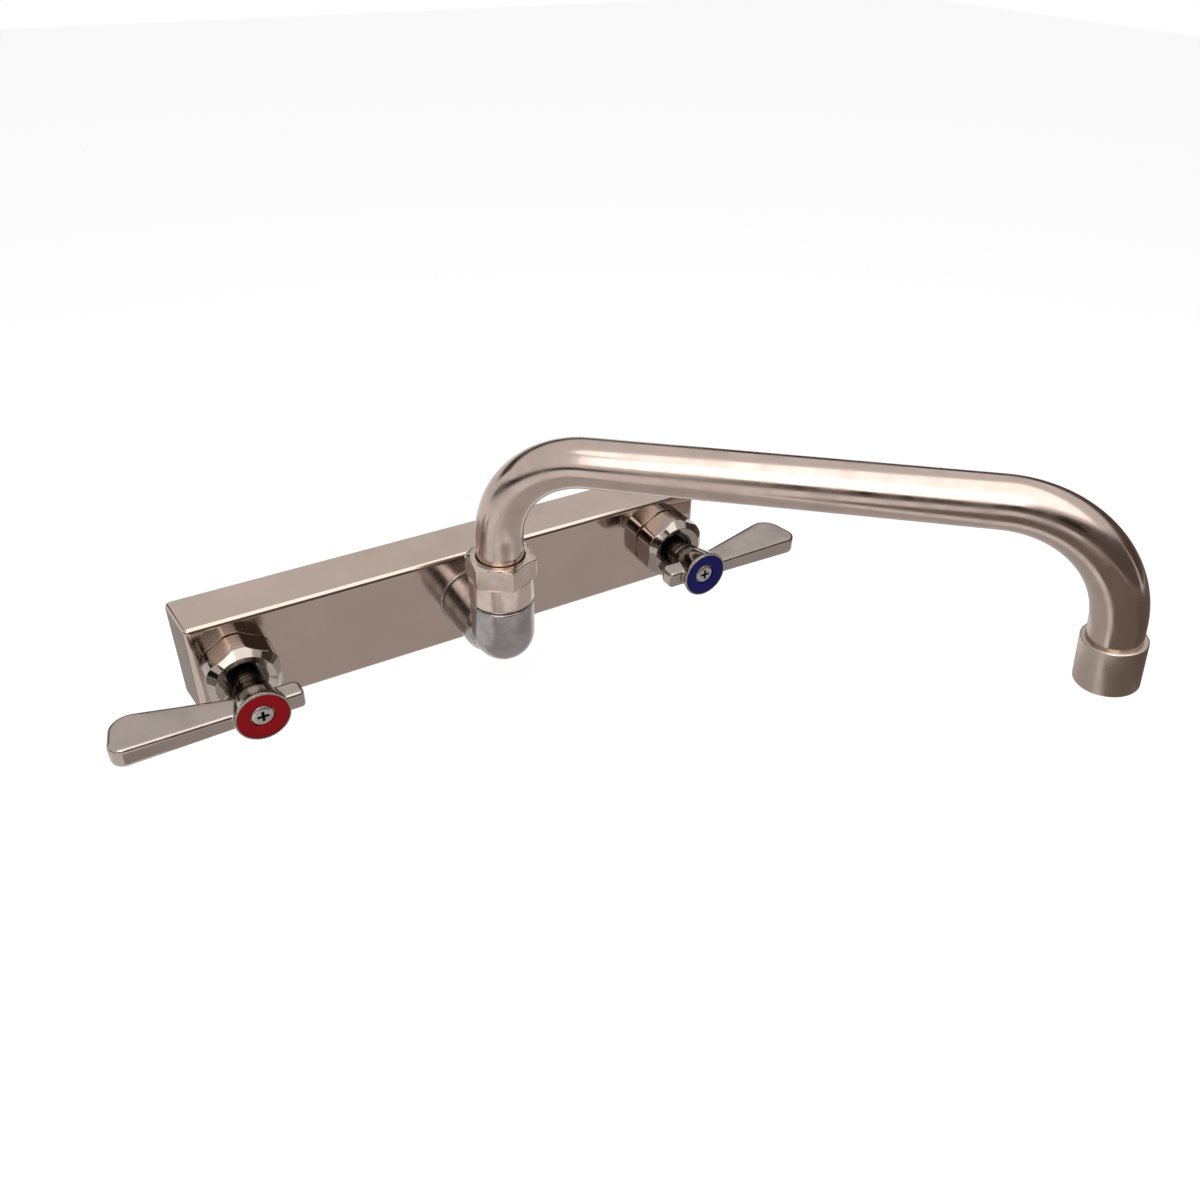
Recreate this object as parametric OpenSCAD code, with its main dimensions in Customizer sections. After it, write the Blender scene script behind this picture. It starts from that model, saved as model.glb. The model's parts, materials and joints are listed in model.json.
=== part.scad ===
// Wall faucet for a commercial kitchen sink: two quarter-turn lever valves behind
// a pressed cover, and a bent spout that swings on a nut above the middle.
// Units are millimetres. X runs along the wall, Z is up and the wall is the plane
// Y = 0, with the faucet in front of it. The origin is on the wall, midway between
// the valves and at the height of their axes.

/* [Cover] */
// Distance between the axes of the two valves
valve_spacing = 203.2; // [190:0.2:215]
// Distance from a valve's axis to the end of the cover's front face
cover_end = 17.2; // [17:0.1:30]
// Height of the cover's front face
cover_height = 44.6; // [42:0.2:60]
// Distance from the wall to the cover's front face
cover_depth = 22; // [21.5:0.1:26]
// How much wider the cover is at the wall than at the front, on each side
cover_flare_width = 2.2; // [0.5:0.1:4]
// How much higher the cover is at the wall than at the front, above and below
cover_flare_height = 0.9; // [0.5:0.1:4]
// Thickness of the cover's sheet
cover_sheet = 1.2; // [0.8:0.1:1.4]
// Radius of the cover's front edges and corners
cover_edge_r = 2.4; // [2:0.1:4]

/* [Valve bodies and crossover] */
// Radius of the cast barrel of a valve body and of the middle tee
barrel_r = 12.6; // [12:0.1:13.5]
// Radius of the threaded front barrel that passes through the cover
front_thread_r = 11.2; // [11:0.1:11.6]
// Length of that barrel in front of the cover
front_thread_length = 9; // [8.5:0.1:11]
// Tapping radius of the supply thread at the back
inlet_r = 9.5; // [9:0.1:10]
// Depth of the supply thread
inlet_depth = 10.5; // [9:0.1:10.8]
// Width across the flats of the hexagon round the supply thread
inlet_hex_flats = 27; // [26.5:0.5:30]
// Length of that hexagon
inlet_hex_length = 6; // [4:0.5:6.5]
// Thickness of the wall that carries the valve seat
seat_wall = 2; // [1.6:0.1:2.4]
// Radius of the chamber that the cartridge fits in
chamber_r = 9.4; // [9.3:0.1:9.6]
// Distance from the wall to the axis of the crossover tubes
cross_depth = 13.6; // [13:0.1:13.9]
// Outer radius of the crossover tubes
cross_r = 4.76; // [4.2:0.02:4.9]
// Wall of the crossover tubes
cross_wall = 0.8; // [0.6:0.1:1.2]
// Distance from a barrel's axis to the end of its side socket
side_reach = 22; // [20:0.5:26]
// Depth of a side socket
socket_depth = 7; // [5:0.5:7.5]
// Wall of a side socket
socket_wall = 1.9; // [1.4:0.1:2]

/* [Bonnet nuts] */
// Width across the flats of a bonnet nut
bonnet_flats = 28.8; // [27:0.1:31]
// How far a bonnet nut's turned corners stand past its flats
bonnet_corner_rise = 0.9; // [0.6:0.1:2]
// Thickness of a bonnet nut's front wall
bonnet_wall = 3; // [2.5:0.1:4]
// Radius of the flat ring at a bonnet nut's front
bonnet_ring_r = 12; // [11.4:0.1:12.6]
// Radius of the hole through a bonnet nut's front
bonnet_hole_r = 8.8; // [8:0.1:9.4]
// Slope of the chamfers on the nuts, in degrees
nut_chamfer = 30; // [20:1:40]

/* [Cartridges] */
// Radius of the ceramic discs
disc_r = 7.6; // [7.4:0.1:7.7]
// Thickness of one ceramic disc
disc_thickness = 2.4; // [2:0.1:2.5]
// Thickness of the rubber seat washer
seat_thickness = 1.5; // [1.2:0.1:1.7]
// Thickness of the disc on the stem that turns the moving ceramic disc
drive_thickness = 2.4; // [2:0.1:2.5]
// Thickness of the cartridge's flange, which the bonnet nut clamps
flange_thickness = 1.5; // [1.2:0.1:2]
// Radius of the stem
stem_r = 6.3; // [6:0.1:6.4]
// Angle that the stem turns from closed to open
quarter_turn = 90; // [60:1:90]
// Angle that one port of a ceramic disc spans
port_angle = 76; // [50:1:80]

/* [Levers] */
// Distance from a bonnet nut's front to the back of the lever's hub
hub_gap = 5.8; // [5:0.1:9]
// Length of the hub
hub_length = 17.1; // [16.5:0.1:19]
// Radius of the hub at its back
hub_back_r = 7.2; // [7:0.1:8]
// Radius of the hub at its front
hub_front_r = 10.75; // [10.6:0.05:12]
// Distance from the stem's axis to the tip of the lever
lever_reach = 54.4; // [48:0.2:75]
// Width of the paddle's front edge line to its back edge at the root
paddle_root_width = 9.4; // [8:0.1:11]
// Greatest width of the paddle, near its tip
paddle_tip_width = 20.4; // [16:0.1:24]
// Thickness of the paddle at the root
paddle_root_thickness = 7; // [5:0.1:8]
// Thickness of the paddle at the tip
paddle_tip_thickness = 8.4; // [5:0.1:10]
// Distance from the stem's axis to the end of the short tail
tail_reach = 17.2; // [15.5:0.1:24]
// Width of the tail
tail_width = 9; // [7:0.1:10]
// Thickness of the tail
tail_thickness = 7.8; // [6:0.1:9]
// Radius of the coloured index disc
index_r = 9.95; // [9.5:0.05:10]
// Thickness of the index disc
index_thickness = 1; // [0.6:0.1:1.2]
// Radius of the lever screw's head
screw_head_r = 4.45; // [4:0.05:4.6]
// Radius of the lever screw's thread
screw_r = 2; // [1.6:0.1:2.4]

/* [Swivel] */
// Distance from the wall to the axis that the spout swings on
swivel_depth = 56.8; // [52:0.2:75]
// Radius of the elbow's upright leg
elbow_r = 13; // [12.9:0.05:13.6]
// Height of the centre of the round bottom of that leg
elbow_round_height = 4.5; // [3.5:0.1:5]
// Radius of the elbow's level leg
boss_r = 12.8; // [12.4:0.05:12.85]
// Radius of the round end of the level leg
elbow_nose_r = 10; // [8:0.5:12]
// Height of the shoulder that ends the elbow's upright leg
elbow_height = 20.7; // [19:0.1:24]
// Radius of the threaded nipple on the tee and of the socket in the elbow
nipple_r = 9.5; // [9:0.1:9.8]
// Depth of the threaded socket in the elbow
elbow_socket_depth = 15; // [12:0.5:18]
// Radius of the waterway through the tee and the elbow
waterway_r = 6.8; // [6:0.1:7.2]
// Thickness of the washer between the elbow and the cover
elbow_washer_thickness = 0.8; // [0.5:0.1:1.5]
// Radius of the thread on top of the elbow
neck_r = 11.6; // [11.2:0.1:11.8]
// Height of the swivel nut
nut_height = 19.9; // [18:0.1:22]
// Height of the hexagon at the top of the swivel nut
nut_hex_height = 9.4; // [8:0.1:11]
// Width across the flats of the swivel nut
nut_flats = 25.4; // [25:0.1:30]
// Angle that the swivel nut is screwed up to
nut_turn = -6; // [-30:1:30]
// Radius of the round skirt under the hexagon
skirt_r = 13.25; // [13:0.05:14]
// Radius of the machined spigot that turns in the elbow
spigot_r = 9; // [8.4:0.1:9.2]
// Length of the spigot in the elbow
spigot_length = 20; // [17:0.5:22]
// Thickness of the flange that the swivel nut holds down
spigot_flange_thickness = 2.8; // [2:0.1:3.5]

/* [Spout] */
// Direction of the spout at rest, in degrees to the right of straight out
rest_swing = 45; // [-90:1:90]
// Outer diameter of the spout tube
tube_od = 19.05; // [18:0.05:19.2]
// Wall of the spout tube
tube_wall = 1.1; // [0.8:0.1:1.4]
// Height of the corner of the tube's axis over the swivel
riser_height = 85; // [82:0.5:130]
// Level distance from the swivel axis to the outlet corner of the tube's axis
spout_reach = 222.8; // [160:0.2:300]
// Rise of the arm towards the outlet, in degrees
arm_rise = 2.8; // [0:0.1:5]
// Angle by which the outlet leg leans outwards from upright, in degrees
outlet_tilt = 6.2; // [0:0.1:10]
// Radius of the first bend, to the tube's axis
base_bend_r = 37; // [30:0.5:40]
// Radius of the outlet bend, to the tube's axis
outlet_bend_r = 45.5; // [30:0.5:50]
// Length of the outlet leg from its corner to the lower end of the collar
outlet_leg = 67.5; // [66:0.5:110]
// Outer radius of the outlet collar
collar_r = 11.35; // [11:0.05:13]
// Length of the outlet collar
collar_length = 18.6; // [17.5:0.1:24]
// Number of rings of holes in the aerator's screen
screen_rings = 3; // [1:1:4]

/* [Hidden] */
$fn = 64;
hull_fn = 32;
// One overrun carries every cut past the face that it opens
over = 1;
// Clearances
fit_gap = 0.05;
seat_gap = 0.3;
hole_gap = 0.4;
disc_gap = 0.02;
half_spacing = valve_spacing / 2;
cover_length = valve_spacing + 2 * cover_end;
washer_front = cover_depth + elbow_washer_thickness;
tube_r = tube_od / 2;
tube_bore_r = tube_r - tube_wall;

// Depths from the wall along a valve's axis
cover_back_of_face = cover_depth - cover_sheet;
chamber_floor = inlet_depth + seat_wall;
barrel_end = cover_depth + front_thread_length;
bonnet_front = barrel_end + flange_thickness + bonnet_wall;
fixed_disc_back = chamber_floor + seat_thickness;
moving_disc_back = fixed_disc_back + disc_thickness + disc_gap;
drive_back = moving_disc_back + disc_thickness + disc_gap;
drive_front = drive_back + drive_thickness;
sleeve_shoulder = drive_front + fit_gap;
bonnet_base_r = bonnet_flats / 2 - hole_gap;
bonnet_corner_r = bonnet_flats / 2 + bonnet_corner_rise;
hub_back = bonnet_front + hub_gap;
cross_bore_r = cross_r - cross_wall;
socket_r = cross_r + fit_gap;
socket_boss_r = socket_r + socket_wall;
side_passage_share = 0.75;
side_passage_r = cross_bore_r * side_passage_share;
cover_hole_r = front_thread_r + hole_gap;
inlet_ring_r = inlet_hex_flats / 2 - hole_gap;

// Cartridge sleeve, stem and seals
sleeve_r = chamber_r - fit_gap;
sleeve_bore_r = disc_r + 2 * fit_gap;
sleeve_wall = 0.95;
sleeve_waist_r = sleeve_bore_r + sleeve_wall;
sleeve_flange_r = front_thread_r - fit_gap;
guide_r = stem_r + fit_gap;
guide_share = 0.62;
guide_end = sleeve_shoulder + (barrel_end - sleeve_shoulder) * guide_share;
window_width = 8;
ring_cord_width = 1.3;
ring_room_gap = 0.1;
seal_depth = (sleeve_shoulder + guide_end) / 2;
stop_angle = 16;
stop_gap_angle = 1;
stop_tooth_depth = 1;
port_inner_r = 2.2;
port_rim_width = 1.4;
tang_r = 0.8;
tang_length = 1.2;
tang_hole_floor = drive_back - tang_length - seat_gap;
tang_place_share = 0.66;
tang_place_r = disc_r * tang_place_share;
seat_bore_share = 0.78;
seat_bore_r = disc_r * seat_bore_share;

// Stem top, lever hub and lever screw, measured from the back of the hub
hub_counterbore_depth = 1.5;
hub_rim_height = 1.2;
hub_front_rim_height = 1.1;
drive_flats_width = 7;
index_sink_depth = 0.2;
index_recess = index_thickness + index_sink_depth;
index_recess_r = index_r + fit_gap;
index_hole_r = screw_head_r + seat_gap;
head_seat_depth = 1.3;
head_height = 2.4;
hub_web_thickness = 3;
hub_floor = hub_length - index_recess;
head_floor = hub_floor - head_seat_depth;
web_back = head_floor - hub_web_thickness;
post_end = web_back - hole_gap;
screw_end_gap = 1;
tapping_depth = 8.4;
stem_groove_depth = 0.5;
stem_groove_width = 0.8;
stem_groove_share = 0.45;
cross_recess_span = 4.8;
cross_recess_width = 1.15;
cross_recess_depth = 1.4;

// Paddle and tail of the lever
paddle_front_sink_depth = 1.1;
paddle_front = hub_length - paddle_front_sink_depth;
paddle_root_drop_depth = 0.7;
paddle_round_r = 1.5;
paddle_back_r = 8.4;
paddle_back_set_width = 1.4;
paddle_front_r = 5.4;
paddle_root_r = 2.4;
paddle_root_reach = 4.5;
tail_front_drop_depth = 1.3;
tail_back_r = 3;
tail_front_r = 1.8;

// Swivel, measured upwards from the axes of the valves
nut_bottom = elbow_height + hole_gap;
nut_top = nut_bottom + nut_height;
nut_roof_thickness = 4.1;
nut_ceiling = nut_top - nut_roof_thickness;
spigot_seat = nut_ceiling - seat_gap / 2 - spigot_flange_thickness;
neck_top = spigot_seat - fit_gap;
spigot_bottom = neck_top - spigot_length;
spigot_bore_share = 0.76;
spigot_bore_r = spigot_r * spigot_bore_share;
spigot_flange_r = neck_r - hole_gap;
spigot_socket_length = 6;
elbow_bore_r = spigot_r + fit_gap;
elbow_floor = spigot_bottom - seat_gap;
nut_hole_r = tube_r + hole_gap;
nut_thread_r = neck_r + fit_gap;
nut_ring_r = nut_flats / 2 - hole_gap;
washer_rim_width = 0.9;
nose_set_depth = 2;
spigot_ring_shares = [0.3, 0.6];
spigot_ring_places = [for (share = spigot_ring_shares) spigot_bottom + spigot_length * share];

// Spout tube: how far each bend takes up its two legs
base_turn = 90 - arm_rise;
outlet_turn = 90 + arm_rise - outlet_tilt;
base_tangent = base_bend_r * tan(base_turn / 2);
outlet_tangent = outlet_bend_r * tan(outlet_turn / 2);
tube_start = spigot_seat + spigot_flange_thickness;
riser_top = riser_height - base_tangent;
bend_draw_depth = 0.02;
run_lap_length = 0.3;
arm_length = spout_reach / cos(arm_rise);
arm_straight = arm_length - base_tangent - outlet_tangent;
collar_socket_depth = 6;
collar_web_thickness = 1.6;
collar_web_bore_r = tube_bore_r;
collar_chamfer_width = 0.5;
outlet_straight = outlet_leg - outlet_tangent - collar_length + collar_socket_depth;
insert_r = 9.85;
insert_bore_r = insert_r + fit_gap;
insert_length = 8.4;
insert_wall = 1.2;
screen_thickness = 1.2;
screen_hole_r = 0.7;
screen_pitch = 2.4;
outlet_washer_thickness = 1.5;
outlet_washer_r = 7.2;

chrome_colour = [0.78, 0.72, 0.68];
satin_colour = [0.70, 0.65, 0.62];
cast_colour = [0.62, 0.62, 0.64];
brass_colour = [0.80, 0.66, 0.36];
copper_colour = [0.78, 0.48, 0.34];
ceramic_colour = [0.95, 0.95, 0.92];
rubber_colour = [0.12, 0.12, 0.12];
plastic_colour = [0.85, 0.86, 0.88];
hot_colour = [0.63, 0.08, 0.10];
cold_colour = [0.12, 0.12, 0.47];

// Places: the local Z axis points out of the wall for what is round about a valve
module from_wall(x) translate([x, 0, 0]) rotate([90, 0, 0]) children();
module hot_side() from_wall(-half_spacing) children();
module cold_side() mirror([1, 0, 0]) hot_side() children();
module at_swivel() translate([0, -swivel_depth, 0]) rotate([0, 0, -rest_swing]) children();

// Plain shapes
module tube(outer, inner, from, to) {
    translate([0, 0, from])
        linear_extrude(to - from)
            difference() {
                circle(outer);
                circle(inner);
            }
}

module rod(radius, from, to) {
    translate([0, 0, from]) cylinder(h = to - from, r = radius);
}

module seal_ring(radius, height) {
    translate([0, 0, height])
        rotate_extrude()
            translate([radius, 0]) circle(ring_cord_width / 2, $fn = hull_fn);
}

module ring_groove(radius, height, outer) {
    groove_half = ring_cord_width / 2 + ring_room_gap;
    tube(outer + over, radius - groove_half, height - groove_half, height + groove_half);
}

// A hexagon with its corners turned off at a slope beyond two flat end rings
module turned_hexagon(flats, turned_r, from, to, back_ring, front_ring) {
    corner = flats / 2 / cos(30);
    slope = tan(nut_chamfer);
    intersection() {
        translate([0, 0, from])
            rotate([0, 0, 30])
                cylinder(h = to - from, r = corner, $fn = 6);
        rotate_extrude()
            polygon([
                [0, from],
                [back_ring, from],
                [turned_r, from + (turned_r - back_ring) * slope],
                [turned_r, to - (turned_r - front_ring) * slope],
                [front_ring, to],
                [0, to]
            ]);
    }
}

// Cover: a pressed shell, open to the wall, with leaning sides and round edges
module cover_shape(inset, back) {
    front = cover_depth - inset;
    edge = max(cover_edge_r - inset, cover_edge_r / 4);
    lean_share = (front - back) / front;
    spread = cover_flare_width * lean_share;
    rise = cover_flare_height * lean_share;
    half_length = cover_length / 2 - inset - edge;
    half_height = cover_height / 2 - inset - edge;
    hull()
        for (x = [-1, 1], y = [-1, 1]) {
            translate([x * half_length, y * half_height, front - edge])
                sphere(edge, $fn = hull_fn);
            translate([x * (half_length + spread), y * (half_height + rise), back])
                cylinder(h = edge / 2, r = edge, $fn = hull_fn);
        }
}

module body_cover() {
    color(chrome_colour)
        difference() {
            from_wall(0) cover_shape(0, 0);
            from_wall(0) cover_shape(cover_sheet, -over);
            for (x = [-half_spacing, half_spacing])
                from_wall(x) rod(cover_hole_r, cover_back_of_face - over, cover_depth + over);
            from_wall(0) rod(nipple_r + hole_gap, cover_back_of_face - over, cover_depth + over);
        }
}

// Valve body: supply thread at the back, cartridge chamber in front, side socket
module side_socket() {
    translate([0, 0, cross_depth]) rotate([0, 90, 0]) rod(socket_boss_r, 0, side_reach);
}

module side_socket_bore(open_to) {
    translate([0, 0, cross_depth])
        rotate([0, 90, 0])
            rod(socket_r, side_reach - socket_depth, side_reach + over);
    translate([0, 0, open_to]) rotate([0, 90, 0]) rod(side_passage_r, 0, side_reach - socket_depth / 2);
}

module valve_body() {
    corner = inlet_hex_flats / 2 / cos(30);
    passage_depth = chamber_floor + side_passage_r + seat_gap;
    color(brass_colour)
        difference() {
            union() {
                turned_hexagon(inlet_hex_flats, corner + over, 0, inlet_hex_length, inlet_ring_r,
                    inlet_ring_r);
                rod(barrel_r, 0, cover_back_of_face);
                rod(front_thread_r, 0, barrel_end);
                side_socket();
            }
            rod(inlet_r, -over, inlet_depth);
            rod(seat_bore_r, -over, chamber_floor + over);
            rod(chamber_r, chamber_floor, barrel_end + over);
            side_socket_bore(passage_depth);
        }
}

module hot_valve_body() hot_side() valve_body();
module cold_valve_body() cold_side() valve_body();

// Middle tee: a pad on the wall, two side sockets and a nipple through the cover
module center_tee() {
    nipple_end = washer_front + elbow_socket_depth - hole_gap;
    color(brass_colour)
        from_wall(0)
            difference() {
                union() {
                    rod(barrel_r, 0, cover_back_of_face);
                    rod(nipple_r, 0, nipple_end);
                    side_socket();
                    mirror([1, 0, 0]) side_socket();
                }
                rod(waterway_r, cross_depth - waterway_r, nipple_end + over);
                side_socket_bore(cross_depth);
                mirror([1, 0, 0]) side_socket_bore(cross_depth);
            }
}

module crossover() {
    from = side_reach - socket_depth + seat_gap;
    to = valve_spacing / 2 - from;
    color(copper_colour)
        translate([0, 0, cross_depth]) rotate([0, 90, 0]) tube(cross_r, cross_bore_r, from, to);
}

module hot_crossover() hot_side() crossover();
module cold_crossover() cold_side() crossover();

// Bonnet nut: clamps the cover and the cartridge, and leaves a well round the stem
module bonnet() {
    well = bonnet_wall / 2;
    color(chrome_colour)
        difference() {
            turned_hexagon(bonnet_flats, bonnet_corner_r, cover_depth, bonnet_front, bonnet_base_r,
                bonnet_ring_r);
            rod(front_thread_r + fit_gap, cover_depth - over, bonnet_front - bonnet_wall);
            rod(bonnet_hole_r, cover_depth, bonnet_front + over);
            translate([0, 0, bonnet_front - well])
                cylinder(h = well + over, r1 = bonnet_hole_r, r2 = bonnet_ring_r);
        }
}

module hot_bonnet() hot_side() bonnet();
module cold_bonnet() cold_side() bonnet();

// Cartridge sleeve: holds the discs, guides the stem and stops it by one tooth
module cartridge() {
    color(brass_colour)
        difference() {
            union() {
                rod(sleeve_waist_r, chamber_floor + seat_gap, sleeve_shoulder);
                rod(sleeve_r, sleeve_shoulder, barrel_end);
                rod(sleeve_flange_r, barrel_end, barrel_end + flange_thickness);
            }
            difference() {
                rod(sleeve_bore_r, chamber_floor, sleeve_shoulder);
                rotate([0, 0, -stop_angle / 2])
                    translate([0, 0, drive_back - disc_gap / 2])
                        rotate_extrude(angle = stop_angle)
                            translate([disc_r - stop_tooth_depth, 0])
                                square([stop_tooth_depth + sleeve_wall, drive_thickness + over]);
            }
            rod(guide_r, chamber_floor, barrel_end);
            rod(bonnet_hole_r - hole_gap, guide_end, bonnet_front);
            translate([-sleeve_r, -window_width / 2, moving_disc_back])
                cube([2 * sleeve_r, window_width, disc_thickness - disc_gap]);
            ring_groove(sleeve_r - ring_cord_width / 2, seal_depth, sleeve_r);
        }
}

module hot_cartridge() hot_side() cartridge();
module cold_cartridge() cold_side() cartridge();

module cartridge_seal() color(rubber_colour) seal_ring(sleeve_r - ring_cord_width / 2, seal_depth);
module hot_cartridge_seal() hot_side() cartridge_seal();
module cold_cartridge_seal() cold_side() cartridge_seal();

module seat_washer() {
    color(rubber_colour) tube(disc_r, seat_bore_r, chamber_floor, fixed_disc_back);
}

module hot_seat_washer() hot_side() seat_washer();
module cold_seat_washer() cold_side() seat_washer();

// Ceramic discs: two opposite ports each, a quarter turn apart when closed. The
// moving disc's ports run out through its rim, to face the sleeve's windows when open.
module ported_disc(from, facing, port_end_r) {
    difference() {
        rod(disc_r, from, from + disc_thickness);
        for (side = [0, 1])
            rotate([0, 0, facing + 180 * side - port_angle / 2])
                translate([0, 0, from - over])
                    rotate_extrude(angle = port_angle)
                        translate([port_inner_r, 0])
                            square([port_end_r - port_inner_r, disc_thickness + 2 * over]);
    }
}

module fixed_disc() color(ceramic_colour) ported_disc(fixed_disc_back, 0, disc_r - port_rim_width);
module hot_fixed_disc() hot_side() fixed_disc();
module cold_fixed_disc() cold_side() fixed_disc();

module tang_places() for (side = [-1, 1]) translate([side * tang_place_r, 0, 0]) children();

module moving_disc() {
    color(ceramic_colour)
        difference() {
            ported_disc(moving_disc_back, quarter_turn, disc_r + over);
            tang_places() rod(tang_r + fit_gap, tang_hole_floor, drive_back + over);
        }
}

module hot_moving_disc() hot_side() moving_disc();
module cold_moving_disc() cold_side() moving_disc();

// Stem: driving disc with the stop notch, seal groove, neck and square top
module stem() {
    stem_shoulder = hub_back + hub_counterbore_depth;
    notch_angle = quarter_turn + stop_angle + 2 * stop_gap_angle;
    neck_groove = bonnet_front + hub_gap * stem_groove_share;
    color(chrome_colour)
        difference() {
            union() {
                rod(disc_r, drive_back, drive_front);
                rod(stem_r, drive_front, stem_shoulder);
                translate([-drive_flats_width / 2, -drive_flats_width / 2, stem_shoulder])
                    cube([drive_flats_width, drive_flats_width, post_end - hub_counterbore_depth]);
                tang_places() rod(tang_r, drive_back - tang_length, drive_back);
            }
            rotate([0, 0, -quarter_turn - stop_angle / 2 - stop_gap_angle])
                translate([0, 0, drive_back - over])
                    rotate_extrude(angle = notch_angle)
                        translate([disc_r - stop_tooth_depth - fit_gap, 0])
                            square([stop_tooth_depth + over, drive_thickness + over]);
            ring_groove(stem_r - ring_cord_width / 2, seal_depth, stem_r);
            tube(stem_r + over, stem_r - stem_groove_depth, neck_groove, neck_groove + stem_groove_width);
            rod(screw_r + fit_gap, hub_back + post_end - tapping_depth, hub_back + post_end + over);
        }
}

module hot_stem() hot_side() stem();
module cold_stem() cold_side() stem();

module stem_seal() color(rubber_colour) seal_ring(stem_r - ring_cord_width / 2, seal_depth);
module hot_stem_seal() hot_side() stem_seal();
module cold_stem_seal() cold_side() stem_seal();

// Lever: flared hub, flat paddle that widens to its tip, and a short tail
module pebble(radius, thickness, x, z) {
    half = thickness / 2;
    translate([x, 0, z])
        rotate([90, 0, 0])
            rotate_extrude($fn = hull_fn)
                intersection() {
                    offset(paddle_round_r, $fn = hull_fn)
                        translate([-radius, -half])
                            translate([paddle_round_r, paddle_round_r])
                                square([2 * (radius - paddle_round_r), 2 * (half - paddle_round_r)]);
                    translate([0, -half]) square([radius, thickness]);
                }
}

module paddle() {
    tip_x = lever_reach - paddle_front_r;
    tip_front = paddle_front - paddle_front_r;
    tip_back = paddle_front - paddle_tip_width + paddle_back_r;
    back_x = lever_reach - paddle_back_r - paddle_back_set_width;
    root_front = paddle_front - paddle_root_drop_depth - paddle_root_r;
    root_back = paddle_front - paddle_root_width - paddle_root_r / 2;
    hull() {
        pebble(paddle_front_r, paddle_tip_thickness, tip_x, tip_front);
        pebble(paddle_back_r, paddle_tip_thickness, back_x, tip_back);
        pebble(paddle_root_r, paddle_root_thickness, paddle_root_reach, root_front);
        pebble(paddle_root_r, paddle_root_thickness, paddle_root_reach, root_back + paddle_root_r);
    }
}

module tail() {
    front = paddle_front - tail_front_drop_depth;
    hull() {
        pebble(tail_front_r, tail_thickness, tail_front_r - tail_reach, front - tail_front_r);
        pebble(tail_back_r, tail_thickness, tail_back_r - tail_reach, front - tail_width + tail_back_r);
        pebble(tail_front_r, tail_thickness, -paddle_root_reach, front - tail_front_r);
        pebble(tail_front_r, tail_thickness, -paddle_root_reach, front - tail_width + tail_front_r);
    }
}

module lever() {
    hole = drive_flats_width + 2 * fit_gap;
    color(satin_colour)
        translate([0, 0, hub_back])
            difference() {
                union() {
                    rotate_extrude()
                        polygon([
                            [0, 0],
                            [hub_back_r, 0],
                            [hub_back_r, hub_rim_height],
                            [hub_front_r, hub_length - hub_front_rim_height],
                            [hub_front_r, hub_length],
                            [0, hub_length]
                        ]);
                    paddle();
                    tail();
                }
                rod(stem_r + fit_gap, -over, hub_counterbore_depth);
                translate([-hole / 2, -hole / 2, 0]) cube([hole, hole, web_back]);
                rod(screw_r + seat_gap, 0, hub_length);
                rod(screw_head_r + fit_gap, head_floor, hub_length);
                rod(index_recess_r, hub_floor, hub_length + over);
            }
}

module hot_lever() hot_side() rotate([0, 0, 180]) lever();
module cold_lever() cold_side() rotate([0, 0, 180]) lever();

module index_disc() {
    tube(index_r, index_hole_r, hub_back + hub_floor, hub_back + hub_floor + index_thickness);
}

module hot_index() color(hot_colour) hot_side() index_disc();
module cold_index() color(cold_colour) cold_side() index_disc();

module lever_screw() {
    head_top = head_floor + head_height;
    cross_floor = head_top - cross_recess_depth;
    color(plastic_colour)
        translate([0, 0, hub_back])
            difference() {
                union() {
                    rod(screw_head_r, head_floor, head_top);
                    rod(screw_r, post_end - tapping_depth + screw_end_gap, head_floor);
                }
                for (turn = [0, 90])
                    rotate([0, 0, turn])
                        translate([-cross_recess_span / 2, -cross_recess_width / 2, cross_floor])
                            cube([cross_recess_span, cross_recess_width, cross_recess_depth + over]);
            }
}

module hot_screw() hot_side() lever_screw();
module cold_screw() cold_side() lever_screw();

// Elbow: a level leg out of the cover and an upright leg with a round bottom
module spout_elbow() {
    nose_start = swivel_depth - nose_set_depth - elbow_nose_r;
    core_r = boss_r - elbow_nose_r;
    color(cast_colour)
        difference() {
            union() {
                from_wall(0)
                    rotate_extrude()
                        union() {
                            translate([0, washer_front]) square([boss_r, nose_start - washer_front]);
                            translate([0, nose_start - over]) square([core_r, elbow_nose_r + over]);
                            intersection() {
                                translate([core_r, nose_start]) circle(elbow_nose_r);
                                translate([0, nose_start - over]) square([boss_r, elbow_nose_r * 2]);
                            }
                        }
                translate([0, -swivel_depth, 0])
                    rotate_extrude()
                        union() {
                            translate([0, elbow_round_height])
                                intersection() {
                                    circle(elbow_r);
                                    translate([0, -elbow_r]) square([elbow_r, elbow_r + over]);
                                }
                            translate([0, elbow_round_height])
                                square([elbow_r, elbow_height - elbow_round_height]);
                            translate([0, elbow_round_height])
                                square([neck_r, neck_top - elbow_round_height]);
                        }
            }
            from_wall(0) rod(nipple_r + fit_gap, washer_front - over, washer_front + elbow_socket_depth);
            from_wall(0) rod(waterway_r, washer_front, swivel_depth);
            translate([0, -swivel_depth, 0]) {
                rod(waterway_r, 0, elbow_floor + over);
                sphere(waterway_r);
                rod(elbow_bore_r, elbow_floor, neck_top + over);
            }
        }
}

module elbow_washer() {
    color(chrome_colour)
        from_wall(0)
            tube(boss_r + washer_rim_width, nipple_r + hole_gap, cover_depth, washer_front);
}

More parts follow.
